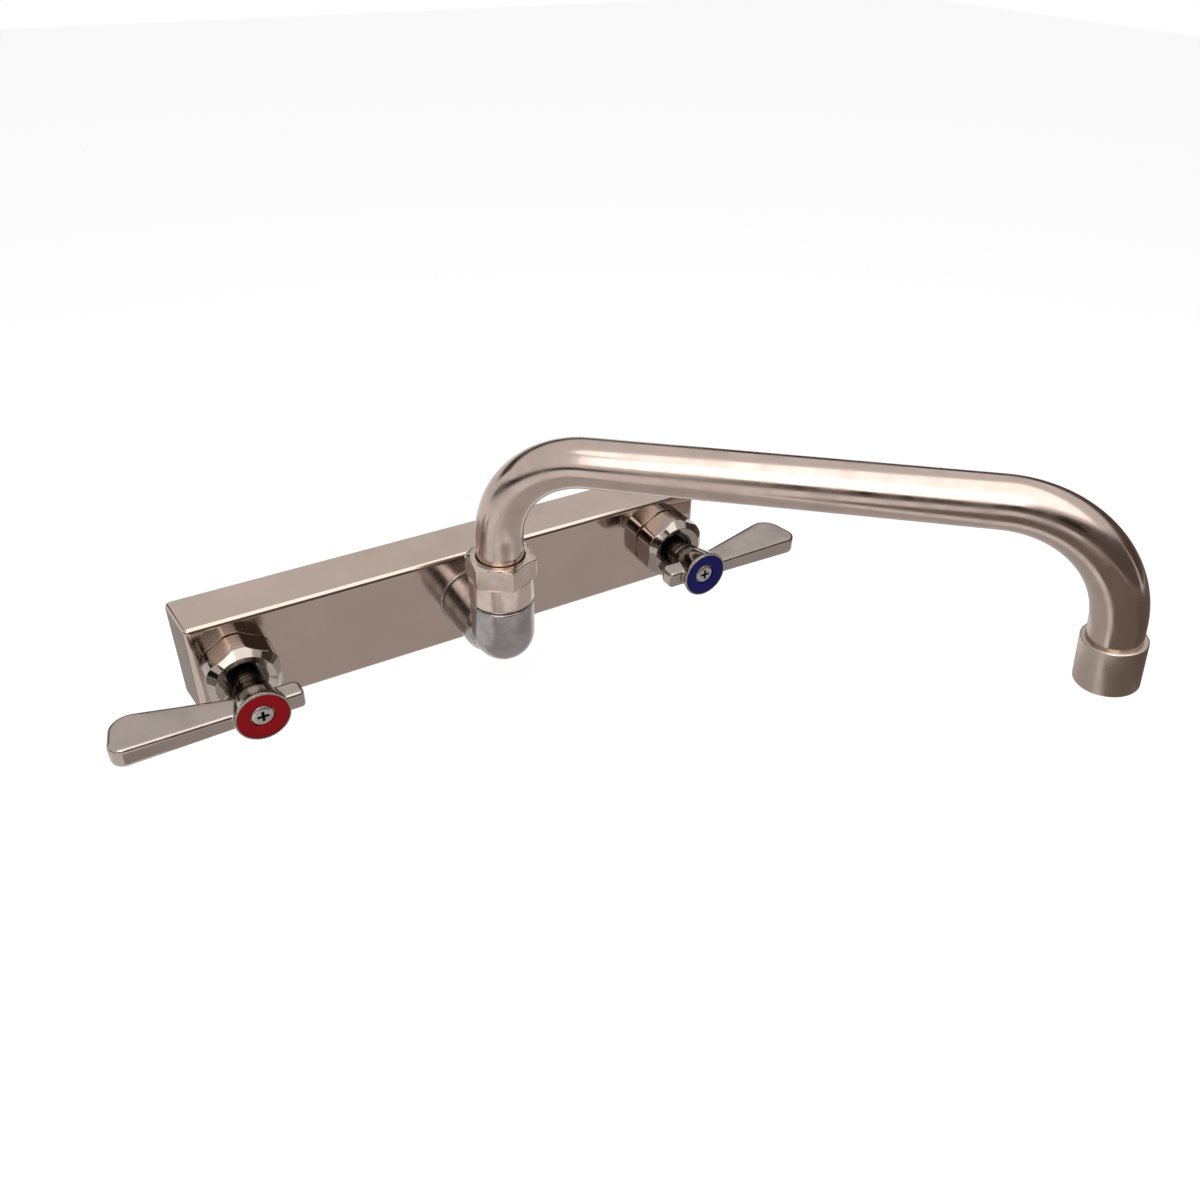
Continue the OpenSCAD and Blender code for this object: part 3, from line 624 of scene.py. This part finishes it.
def to_hexagon(bm, flats, limit, radius, height, height_of):
    """Moves one turned ring onto a hexagon, its corners turned off to a limit, at the
    height that suits each radius."""
    for vert in [vert for vert in bm.verts if on_ring(vert, radius, height)]:
        turn = math.atan2(vert.co.y, vert.co.x)
        side = min(hexagon_radius(flats, turn), limit)
        vert.co = (side * math.cos(turn), side * math.sin(turn), height_of(side))


class FAUCET_OT_bonnets(bpy.types.Operator):
    """Make the bonnet nuts with their chamfered corners and the well round the stem"""

    bl_idname = "faucet.bonnets"
    bl_label = "Bonnet nuts"

    def execute(self, context):
        settings = settings_of(context)
        sizes = settings.valve
        back = settings.cover.depth
        front = sizes.bonnet_front
        slope = math.tan(sizes.chamfer)
        steep = math.tan(sizes.bonnet_chamfer)
        across = sizes.bonnet_flats, sizes.bonnet_corner
        corner = sizes.bonnet_flats / 2 / math.cos(math.radians(30))
        base_ring = sizes.bonnet_flats / 2 - 0.4 * MM
        lower = back + 3 * MM
        upper = front - 4 * MM
        lip = front - 1.5 * MM
        shoulder = front - 3 * MM
        profile = [
            (sizes.bonnet_thread, back),
            (base_ring, back),
            (corner, lower),
            (corner, upper),
            (sizes.bonnet_ring, front),
            (sizes.bonnet_hole, lip),
            (sizes.bonnet_hole, shoulder),
            (sizes.bonnet_thread, shoulder),
        ]
        for side, x in SIDES.items():
            bm = turned(profile, settings.steps)
            to_hexagon(bm, *across, corner, lower, lambda r: back + (r - base_ring) * slope)
            to_hexagon(bm, *across, corner, upper, lambda r: front - (r - sizes.bonnet_ring) * steep)
            soften(bm, crisp_edges(bm, 20), 0.22 * MM, 3)
            moved(bm, out_of_wall(x))
            chrome = turned_chrome(settings.finish)
            node = f"{side}_bonnet"
            nut = finished(f"{side}_bonnet_nut", bm, chrome, "root", [node], 60)
            flat_highlights(nut)
        return {"FINISHED"}


def pebble(radius, thickness, reach, front):
    """A round slab with a rounded rim, lying in the plane of the lever."""
    half = thickness / 2
    rounding = 1.5 * MM
    bm = turned([(0, -half), (radius, -half, rounding), (radius, half, rounding), (0, half)], 48)
    return moved(bm, Matrix.Translation((reach, 0, front)) @ Matrix.Rotation(QUARTER, 4, "X"))


def stretched_over(*forms):
    """The skin stretched over several forms."""
    bm = together(*forms)
    hull = bmesh.ops.convex_hull(bm, input=bm.verts[:])
    spare = only(bmesh.types.BMVert, hull["geom_interior"] + hull["geom_unused"])
    bmesh.ops.delete(bm, geom=spare, context="VERTS")
    kept = {face for face in only(bmesh.types.BMFace, hull["geom"]) if face.is_valid}
    bmesh.ops.delete(bm, geom=[face for face in bm.faces if face not in kept], context="FACES")
    bmesh.ops.recalc_face_normals(bm, faces=bm.faces[:])
    return bm


def lever_form(sizes):
    """The lever's own form: flared hub, paddle that widens to its tip, short tail."""
    edge = sizes.hub_length - 1.1 * MM
    profile = [
        (0, 0),
        (sizes.hub_back_radius, 0),
        (sizes.hub_back_radius, 1.2 * MM),
        (sizes.hub_front_radius, edge),
        (sizes.hub_front_radius, sizes.hub_length),
        (0, sizes.hub_length),
    ]
    hub = turned(profile, 144)
    # Radii of the corners, how far the heel's centre is from the tip, and where the
    # paddle and the tail leave the hub
    tip = 5.4 * MM
    heel = 8.4 * MM
    heel_back = 9.8 * MM
    neck = 2.4 * MM
    tail_edge = 1.8 * MM
    tail_heel = 3 * MM
    root = 4.5 * MM
    paddle = stretched_over(
        pebble(tip, sizes.tip_thickness, sizes.reach - tip, edge - tip),
        pebble(heel, sizes.tip_thickness, sizes.reach - heel_back, edge - sizes.tip_width + heel),
        pebble(neck, sizes.root_thickness, root, edge - 3.1 * MM),
        pebble(neck, sizes.root_thickness, root, edge - sizes.root_width + 1.2 * MM),
    )
    thick = sizes.tail_thickness
    top = edge - 1.3 * MM
    bottom = top - sizes.tail_width
    tail = stretched_over(
        pebble(tail_edge, thick, tail_edge - sizes.tail, top - tail_edge),
        pebble(tail_heel, thick, tail_heel - sizes.tail, bottom + tail_heel),
        pebble(tail_edge, thick, -root, top - tail_edge),
        pebble(tail_edge, thick, -root, bottom + tail_edge),
    )
    return together(hub, paddle, tail)


class FAUCET_OT_levers(bpy.types.Operator):
    """Make the cast levers, with the recess for the index and the seats of the screw"""

    bl_idname = "faucet.levers"
    bl_label = "Levers"

    def execute(self, context):
        settings = settings_of(context)
        sizes = settings.lever
        steps = settings.steps
        over = 1 * MM
        floor = sizes.hub_length - INDEX_SEAT
        seat = floor - HEAD_SEAT
        screw_hole = 2.3 * MM
        hole_end = seat - 4 * MM
        head_hole = sizes.screw_radius + 0.05 * MM
        recess = sizes.index_radius + 0.08 * MM
        top = sizes.hub_length + over
        bore = turned(stepped(hole_end, (screw_hole, seat), (head_hole, floor), (recess, top)), steps)
        sink_radius = 6.35 * MM
        sink_depth = 1.5 * MM
        sink = turned(stepped(-over, (sink_radius, sink_depth)), steps)
        square = 7.1 * MM
        square_depth = 11.6 * MM
        socket = block((square, square, square_depth), (0, 0, square_depth / 2))
        casting = fused(lever_form(sizes), sizes.grain)
        for cutter in (bore, sink, socket):
            casting = cut(casting, cutter)
        weld(casting, 2 * CLEAN)
        satin = lever_satin(settings.finish)
        buffed = turned_chrome(settings.finish)
        for side, x in SIDES.items():
            turn = math.radians(180) if side == "hot" else 0
            place = Matrix.Rotation(turn, 4, "Z") @ Matrix.Translation((0, 0, sizes.hub_back))
            place = out_of_wall(x) @ place
            bm = moved(casting.copy(), place)
            node = f"{side}_lever"
            lever = finished(f"{node}_casting", bm, satin, f"{side}_handle", [node], 38)
            refinish(lever, buffed, place, sizes.hub_front_radius + 0.1 * MM, 0, 1)
        casting.free()
        return {"FINISHED"}


class FAUCET_OT_indexes(bpy.types.Operator):
    """Make the red and blue index washers"""

    bl_idname = "faucet.indexes"
    bl_label = "Index washers"

    def execute(self, context):
        settings = settings_of(context)
        sizes = settings.lever
        hole = 4.75 * MM
        back = sizes.hub_back + sizes.hub_length - INDEX_SEAT
        front = back + 1 * MM
        lacquers = {
            "hot": index_lacquer("red_lacquered_washer", settings.finish.red),
            "cold": index_lacquer("blue_lacquered_washer", settings.finish.blue),
        }
        outer = sizes.index_radius
        for side, x in SIDES.items():
            profile = [(hole, back), (outer, back), (outer, front, 0.2 * MM), (hole, front, 0.25 * MM)]
            bm = moved(turned(profile, settings.steps), out_of_wall(x))
            node = f"{side}_index"
            finished(f"{node}_washer", bm, lacquers[side], f"{side}_handle", [node])
        return {"FINISHED"}


class FAUCET_OT_screws(bpy.types.Operator):
    """Make the screws that hold the levers, with a domed head and a cross recess"""

    bl_idname = "faucet.screws"
    bl_label = "Lever screws"

    def execute(self, context):
        settings = settings_of(context)
        sizes = settings.lever
        seat = sizes.hub_length - INDEX_SEAT - HEAD_SEAT
        head = seat + 2.4 * MM
        end = seat - 11 * MM
        point = 1.4 * MM
        shank = 2 * MM
        cross = (6.6 * MM, 1.9 * MM, 4.4 * MM)
        narrowed = (0.4, 0.3, 1)
        profile = [
            (0, end),
            (point, end),
            (shank, end + 0.8 * MM),
            (shank, seat),
            (sizes.screw_radius, seat),
            (sizes.screw_radius, head - 0.7 * MM, 0.3 * MM),
            (sizes.screw_radius - 1 * MM, head - 0.1 * MM, 0.6 * MM),
            (0, head),
        ]
        for side, x in SIDES.items():
            bm = turned(profile, settings.steps)
            for turn in (0, 90):
                arm = block(cross)
                low = [vert for vert in arm.verts if vert.co.z < 0]
                bmesh.ops.scale(arm, vec=narrowed, verts=low)
                place = Matrix.Translation((0, 0, head)) @ Matrix.Rotation(math.radians(turn), 4, "Z")
                bm = cut(bm, moved(arm, place))
            place = out_of_wall(x) @ Matrix.Translation((0, 0, sizes.hub_back))
            moved(bm, place)
            name = f"{side}_lever_screw"
            screw = finished(name, bm, screw_steel(), f"{side}_handle", [f"{side}_screw"])
            # The faces inside the cross get the painted shade of the recess
            refinish(screw, painted_shade_recess(), place, sizes.screw_radius - 0.9 * MM, seat, head - 0.25 * MM)
        return {"FINISHED"}


class FAUCET_OT_elbow(bpy.types.Operator):
    """Make the cast elbow and the washer between it and the cover"""

    bl_idname = "faucet.elbow"
    bl_label = "Elbow"

    def execute(self, context):
        settings = settings_of(context)
        sizes = settings.spout
        steps = settings.steps
        depth = -SWIVEL.y
        waterway = 6.8 * MM
        arc = [QUARTER * part / 12 for part in range(13)]

        nose = sizes.nose_radius
        nose_end = depth - 2 * MM
        nose_start = nose_end - nose
        flank = sizes.boss_radius - nose
        level = turned(
            [(0, sizes.washer_front), (sizes.boss_radius, sizes.washer_front, 0.8 * MM)]
            + [(flank + nose * math.cos(turn), nose_start + nose * math.sin(turn)) for turn in arc]
            + [(0, nose_end)],
            steps,
        )
        round_radius = sizes.elbow_radius
        middle = sizes.elbow_round
        neck = 11.6 * MM
        neck_top = 33.9 * MM
        upright = turned(
            [(round_radius * math.sin(turn), middle - round_radius * math.cos(turn)) for turn in arc]
            + [(round_radius, sizes.elbow_top), (neck, sizes.elbow_top), (neck, neck_top), (0, neck_top)],
            steps,
        )
        forms = together(moved(level, out_of_wall(0)), moved(upright, over_swivel()))
        skin = fused(forms, 0.36 * MM)

        bottom = -3 * MM
        top = 36 * MM
        spigot_bore = 9.05 * MM
        spigot_floor = 13.55 * MM
        upright_bore = turned(stepped(bottom, (waterway, spigot_floor), (spigot_bore, top)), steps)
        skin = cut(skin, moved(upright_bore, over_swivel()))
        mouth = 21 * MM
        nipple_bore = 9.55 * MM
        nipple_end = 37.8 * MM
        level_bore = turned(stepped(mouth, (nipple_bore, nipple_end), (waterway, nose_end)), steps)
        skin = cut(skin, moved(level_bore, out_of_wall(0)))
        weld(skin, 2 * CLEAN)
        cast = tumbled_casting(settings.finish)
        finished("elbow_casting", skin, cast, "root", ["spout_elbow"], 45)

        hole = 9.9 * MM
        rim = 13.7 * MM
        back = settings.cover.depth
        front = sizes.washer_front
        profile = [(hole, back), (rim, back, 0.15 * MM), (rim, front, 0.3 * MM), (hole, front)]
        ring = moved(turned(profile, steps), out_of_wall(0))
        chrome = turned_chrome(settings.finish)
        finished("cover_washer_ring", ring, chrome, "root", ["elbow_washer"])
        return {"FINISHED"}


class FAUCET_OT_swivel_nut(bpy.types.Operator):
    """Make the swivel nut: a chamfered hexagon over a round skirt"""

    bl_idname = "faucet.swivel_nut"
    bl_label = "Swivel nut"

    def execute(self, context):
        settings = settings_of(context)
        sizes = settings.spout
        slope = math.tan(settings.valve.chamfer)
        corner = sizes.nut_flats / 2 / math.cos(math.radians(30))
        ring = sizes.nut_flats / 2 - 0.4 * MM
        ledge = sizes.nut_top - sizes.nut_hexagon
        shoulder = sizes.nut_top - 4 * MM
        ceiling = sizes.nut_top - 4.1 * MM
        hole = sizes.tube_radius + 0.4 * MM
        thread = 11.65 * MM
        profile = [
            (thread, sizes.nut_bottom),
            (sizes.skirt_radius, sizes.nut_bottom, 0.9 * MM),
            (sizes.skirt_radius, ledge),
            (corner, ledge),
            (corner, shoulder),
            (ring, sizes.nut_top),
            (hole, sizes.nut_top, 0.35 * MM),
            (hole, ceiling),
            (thread, ceiling),
        ]
        bm = turned(profile, settings.steps)
        across = sizes.nut_flats, corner
        to_hexagon(bm, *across, corner, ledge, lambda r: ledge)
        to_hexagon(bm, *across, corner, shoulder, lambda r: sizes.nut_top - (r - ring) * slope)
        upper = [
            edge
            for edge in crisp_edges(bm, 20)
            if min(vert.co.z for vert in edge.verts) > ledge - CLEAN
            and max(vert.co.z for vert in edge.verts) > ledge + CLEAN
            and min(math.hypot(vert.co.x, vert.co.y) for vert in edge.verts) > hole + 1 * MM
        ]
        soften(bm, upper, 0.25 * MM, 3)
        moved(bm, over_swivel() @ Matrix.Rotation(sizes.nut_turn, 4, "Z"))
        satin = nut_satin(settings.finish)
        nut = finished("swivel_hexagon_nut", bm, satin, "root", ["swivel_nut"], 50)
        flat_highlights(nut)
        return {"FINISHED"}


def swept(bm, ring, centre, turn, steps):
    """Carries a ring of edges round a bend and gives the ring at its end."""
    made = bmesh.ops.spin(bm, geom=ring, cent=centre, axis=(0, 1, 0), angle=turn, steps=steps)
    return only(bmesh.types.BMEdge, made["geom_last"])


def run_on(bm, ring, way):
    """Carries a ring of edges straight on and gives the ring at its end."""
    made = bmesh.ops.extrude_edge_only(bm, edges=ring)["geom"]
    ends = only(bmesh.types.BMVert, made)
    bmesh.ops.translate(bm, vec=way, verts=ends)
    return [edge for edge in only(bmesh.types.BMEdge, made) if all(vert in ends for vert in edge.verts)]


def heading(turn):
    """The way the tube runs, once it has turned this far from upright."""
    return Vector((math.sin(turn), 0, math.cos(turn)))


class SpoutPath:
    """The turns, runs and corners of the tube's axis."""

    def __init__(self, sizes):
        self.first_turn = QUARTER - sizes.rise
        self.second_turn = QUARTER + sizes.rise - sizes.tilt
        first = sizes.base_bend * math.tan(self.first_turn / 2)
        second = sizes.outlet_bend * math.tan(self.second_turn / 2)
        self.riser = sizes.corner_height - first
        self.arm = sizes.reach / math.cos(sizes.rise) - first - second
        self.outlet = sizes.outlet_leg - second - sizes.collar_length + COLLAR_SOCKET
        self.first_centre = Vector((sizes.base_bend, 0, self.riser))
        arm_way = heading(self.first_turn)
        arm_side = heading(self.first_turn + QUARTER)
        arm_start = self.first_centre - sizes.base_bend * arm_side
        self.arm_run = self.arm * arm_way
        self.second_centre = arm_start + self.arm_run + sizes.outlet_bend * arm_side
        self.down = heading(self.first_turn + self.second_turn)
        down_side = heading(self.first_turn + self.second_turn + QUARTER)
        self.outlet_run = self.outlet * self.down
        self.tube_end = self.second_centre - sizes.outlet_bend * down_side + self.outlet_run


class FAUCET_OT_spout_tube(bpy.types.Operator):
    """Make the bent spout tube"""

    bl_idname = "faucet.spout_tube"
    bl_label = "Spout tube"

    def execute(self, context):
        settings = settings_of(context)
        sizes = settings.spout
        path = SpoutPath(sizes)
        bm = bmesh.new()
        ring = circle(bm, 96, sizes.tube_radius, (0, 0, sizes.tube_start))
        riser_parts = 4
        arm_parts = 24
        for _ in range(riser_parts):
            ring = run_on(bm, ring, (0, 0, (path.riser - sizes.tube_start) / riser_parts))
        ring = swept(bm, ring, path.first_centre, path.first_turn, 40)
        for _ in range(arm_parts):
            ring = run_on(bm, ring, path.arm_run / arm_parts)
        ring = swept(bm, ring, path.second_centre, path.second_turn, 44)
        run_on(bm, ring, path.outlet_run)
        weld(bm)
        bmesh.ops.recalc_face_normals(bm, faces=bm.faces[:])
        bm.normal_update()
        start = [face for face in bm.faces if face.calc_center_median().z < path.riser]
        if sum(face.normal.dot(face.calc_center_median().xy.to_3d()) for face in start) < 0:
            bmesh.ops.reverse_faces(bm, faces=bm.faces[:])
        bm = shaped(bm, "SOLIDIFY", thickness=sizes.tube_wall, offset=-1, use_even_offset=True)
        moved(bm, along_spout(sizes))
        steel = tube_polish(settings.finish)
        finished("spout_bent_tube", bm, steel, "spout", ["spout_tube"], 50)
        return {"FINISHED"}


class FAUCET_OT_collar(bpy.types.Operator):
    """Make the collar on the outlet"""

    bl_idname = "faucet.collar"
    bl_label = "Outlet collar"

    def execute(self, context):
        settings = settings_of(context)
        sizes = settings.spout
        path = SpoutPath(sizes)
        long = sizes.collar_length
        bore = sizes.tube_radius - sizes.tube_wall
        socket = sizes.tube_radius + 0.05 * MM
        seat = 9.9 * MM
        seat_floor = 7.6 * MM
        profile = [
            (socket, 0),
            (sizes.collar_radius, 0, 0.7 * MM),
            (sizes.collar_radius, long, 0.6 * MM),
            (seat, long, 0.2 * MM),
            (seat, seat_floor),
            (bore, seat_floor),
            (bore, COLLAR_SOCKET),
            (socket, COLLAR_SOCKET),
        ]
        bm = turned(profile, settings.steps)
        start = path.tube_end - COLLAR_SOCKET * path.down
        turn = Matrix.Rotation(path.first_turn + path.second_turn, 4, "Y")
        moved(bm, along_spout(sizes) @ Matrix.Translation(start) @ turn)
        brushed = collar_brush(settings.finish)
        finished("outlet_end_collar", bm, brushed, "spout", ["outlet_collar"])
        return {"FINISHED"}


# Node, material, slot, body, and whether each valve has one
INNER_PARTS = [
    ("valve_body", cast_brass, "cast_brass", "root", True),
    ("crossover", drawn_copper, "copper_tube", "root", True),
    ("cartridge", dark_nickel, "turned_brass", "root", True),
    ("cartridge_seal", seal_rubber, "black_rubber", "root", True),
    ("seat_washer", seal_rubber, "black_rubber", "root", True),
    ("fixed_disc", disc_ceramic, "ceramic", "root", True),
    ("moving_disc", disc_ceramic, "ceramic", "handle", True),
    ("stem", dark_nickel, "polished_chrome", "handle", True),
    ("stem_seal", seal_rubber, "black_rubber", "handle", True),
    ("center_tee", cast_brass, "cast_brass", "root", False),
    ("spout_spigot", machined_brass, "turned_brass", "spout", False),
    ("spigot_seals", seal_rubber, "black_rubber", "spout", False),
    ("outlet_washer", seal_rubber, "black_rubber", "spout", False),
    ("aerator", insert_plastic, "grey_plastic", "spout", False),
]


class FAUCET_OT_inner_parts(bpy.types.Operator):
    """Finish the valves, the waterway and the seals, merged and smooth"""

    bl_idname = "faucet.inner_parts"
    bl_label = "Valves and waterway"

    def execute(self, context):
        for kind, material, slot, body, paired in INNER_PARTS:
            for side in SIDES if paired else [""]:
                node = f"{side}_{kind}" if side else kind
                bm = bmesh.new()
                bm.from_mesh(frame["nodes"][node].data)
                weld(bm, 2 * CLEAN)
                limit = math.radians(0.5)
                bmesh.ops.dissolve_limit(bm, angle_limit=limit, verts=bm.verts[:], edges=bm.edges[:])
                carrier = f"{side}_handle" if body == "handle" else body
                piece = finished(f"{node}_smoothed", bm, material(), carrier, [node])
                if kind == "stem":
                    edge = piece.modifiers.new("Edge break", "BEVEL")
                    edge.width = 0.12 * MM
                    edge.segments = 2
                    edge.limit_method = "ANGLE"
                    edge.angle_limit = math.radians(50)
                    edge.harden_normals = True
        return {"FINISHED"}


# Studio

# Grey cards, which give the metal its dark bands: name, width, height and place in
# metres, and tone. The floor cards lie flat, and the others face the faucet.
FLOOR_CARDS = [
    ("near_floor_card", 0.52, 0.20, (0.13, -0.13, -0.10), "#d0cdcc"),
    ("front_floor_card", 1.22, 1.01, (0.49, -0.795, -0.10), "#857b75"),
    ("lever_floor_card", 0.075, 0.05, (-0.165, -0.175, -0.10), "#bcb7b4"),
    ("end_floor_card", 0.24, 0.22, (-0.14, 0.17, -0.10), "#a6a2a0"),
    ("right_floor_card", 0.79, 1.1, (0.715, -0.3, -0.09), "#746963"),
]
STANDING_CARDS = [
    ("back_card", 3.0, 0.40, (0.2, 1.0, 0.42), "#4a423d"),
    ("front_wall_card", 2.25, 0.76, (0.175, -1.3, 0.28), "#685e58"),
    ("front_streak_card", 0.78, 0.26, (-0.325, -1.22, 0.36), "#1c1816"),
    ("front_left_card", 0.56, 0.46, (-0.98, -1.22, 0.39), "#2b2623"),
    ("front_left_low_card", 0.46, 0.28, (-1.03, -1.22, 0.02), "#7a706a"),
    ("left_horizon_card", 1.5, 0.28, (-1.2, -0.15, 0.04), "#2b2623"),
    ("right_wall_card", 2.4, 0.72, (1.2, 0.1, 0.2), "#5c4d45"),
]

# Name, place, size in metres and power in watts
LAMPS = [
    ("front_softbox", (-0.62, -0.78, 0.80), 0.8, 4.6),
    ("overhead_softbox", (0.02, -0.5, 1.0), 1.25, 7.4),
]

# What the standing cards and the lamps face
MIDDLE = (0.02, -0.08, 0.04)
# Where the camera stands, and its turns about X, Y and Z in degrees
CAMERA_PLACE = Vector((-150.48, -385.47, 268.72)) * MM
CAMERA_TURN = (55.285, -1.001, -30.260)


def plate(name, width, height, place):
    bm = bmesh.new()
    bmesh.ops.create_grid(bm, x_segments=1, y_segments=1, size=0.5)
    bmesh.ops.scale(bm, vec=(width, height, 1), verts=bm.verts[:])
    made = as_object(moved(bm, place), name)
    return made


def mirror_card(name, width, height, place, tone):
    """A grey card that only mirrors see."""
    card = plate(name, width, height, place)
    for ray in ("camera", "diffuse", "transmission", "volume_scatter", "shadow"):
        setattr(card, f"visible_{ray}", False)
    material, tree = blank(f"{name}_tone")
    shade = add(tree, "Emission", {"Color": linear(tone), "Strength": 1.0})
    add(tree, "OutputMaterial", {"Surface": shade.outputs["Emission"]})
    card.data.materials.append(material)


def facing(place, target):
    """Puts something at a place with its local Z axis away from a target."""
    away = Vector(place) - Vector(target)
    return Matrix.Translation(place) @ away.to_track_quat("Z", "Y").to_matrix().to_4x4()


def background_share(tree):
    """1 on rays from the camera, mirrors and glass, and 0 on rays that light things."""
    rays = add(tree, "LightPath").outputs
    share = rays["Is Camera Ray"]
    for kind in ("Is Glossy Ray", "Is Transmission Ray"):
        share = add(tree, "Math", {0: share, 1: rays[kind]}, {"operation": "MAXIMUM"}).outputs["Value"]
    return share


class FAUCET_OT_studio(bpy.types.Operator):
    """Make the pale floor, the white surroundings, the soft lights and the camera"""

    bl_idname = "faucet.studio"
    bl_label = "Studio"

    def execute(self, context):
        settings = settings_of(context)
        scene = context.scene
        studio = settings.studio
        scene.view_settings.view_transform = "Standard"

        world = bpy.data.worlds.new("white_surroundings")
        world.use_nodes = True
        tree = world.node_tree
        tree.nodes.clear()
        daylight = {"Value": background_share(tree), "To Min": studio.daylight, "To Max": 1.0}
        strength = add(tree, "MapRange", daylight).outputs["Result"]
        sky = add(tree, "Background", {"Color": linear("#ffffff"), "Strength": strength})
        add(tree, "OutputWorld", {"Surface": sky.outputs["Background"]})
        scene.world = world

        floor = plate("studio_floor", 6, 6, Matrix.Translation((0, 0, studio.floor)))
        material, tree = blank("pale_paper_floor")
        paper = add(tree, "BsdfDiffuse", {"Color": linear("#8c8c8c")}).outputs["BSDF"]
        lift = {"Value": background_share(tree), "To Min": 0.0, "To Max": studio.floor_glow}
        strength = add(tree, "MapRange", lift).outputs["Result"]
        glow = add(tree, "Emission", {"Color": linear("#ffffff"), "Strength": strength}).outputs["Emission"]
        both = add(tree, "AddShader", {0: paper, 1: glow})
        add(tree, "OutputMaterial", {"Surface": both.outputs["Shader"]})
        floor.data.materials.append(material)

        for name, width, height, place, tone in FLOOR_CARDS:
            above = (place[0], place[1], 0.5)
            mirror_card(name, width, height, facing(place, above), tone)
        for name, width, height, place, tone in STANDING_CARDS:
            mirror_card(name, width, height, facing(place, MIDDLE), tone)

        for name, place, size, power in LAMPS:
            lamp = bpy.data.lights.new(name, "AREA")
            lamp.shape = "SQUARE"
            lamp.size = size
            lamp.energy = power
            made = bpy.data.objects.new(name, lamp)
            made.matrix_world = facing(place, MIDDLE)
            scene.collection.objects.link(made)

        lens = bpy.data.cameras.new("studio_camera")
        lens.sensor_width = 36
        lens.lens = studio.focal_length
        lens.clip_start = 1 * MM
        camera = bpy.data.objects.new("studio_camera", lens)
        camera.location = CAMERA_PLACE
        camera.rotation_euler = [math.radians(turn) for turn in CAMERA_TURN]
        scene.collection.objects.link(camera)
        scene.camera = camera
        return {"FINISHED"}


OPERATORS = [
    FAUCET_OT_cover,
    FAUCET_OT_bonnets,
    FAUCET_OT_levers,
    FAUCET_OT_indexes,
    FAUCET_OT_screws,
    FAUCET_OT_elbow,
    FAUCET_OT_swivel_nut,
    FAUCET_OT_spout_tube,
    FAUCET_OT_collar,
    FAUCET_OT_inner_parts,
    FAUCET_OT_studio,
]
GROUPS = [CoverSizes, ValveSizes, LeverSizes, SpoutSizes, Finishes, StudioSettings, FaucetSettings]


class FAUCET_PT_sidebar(bpy.types.Panel):
    """Lists the pieces of the faucet"""

    bl_idname = "FAUCET_PT_sidebar"
    bl_label = "Wall Faucet"
    bl_space_type = "VIEW_3D"
    bl_region_type = "UI"
    bl_category = "Wall Faucet"

    def draw(self, context):
        for operator in OPERATORS:
            self.layout.operator(operator.bl_idname)


def register():
    for cls in GROUPS + OPERATORS + [FAUCET_PT_sidebar]:
        bpy.utils.register_class(cls)
    bpy.types.Scene.wall_faucet = PointerProperty(
        type=FaucetSettings, name="Wall faucet", description="Sizes and colours of the wall faucet"
    )


def unregister():
    del bpy.types.Scene.wall_faucet
    for cls in reversed(GROUPS + OPERATORS + [FAUCET_PT_sidebar]):
        bpy.utils.unregister_class(cls)


def main():
    register()
    for operator in OPERATORS:
        group, name = operator.bl_idname.split(".")
        getattr(getattr(bpy.ops, group), name)()


if __name__ == "__main__":
    main()
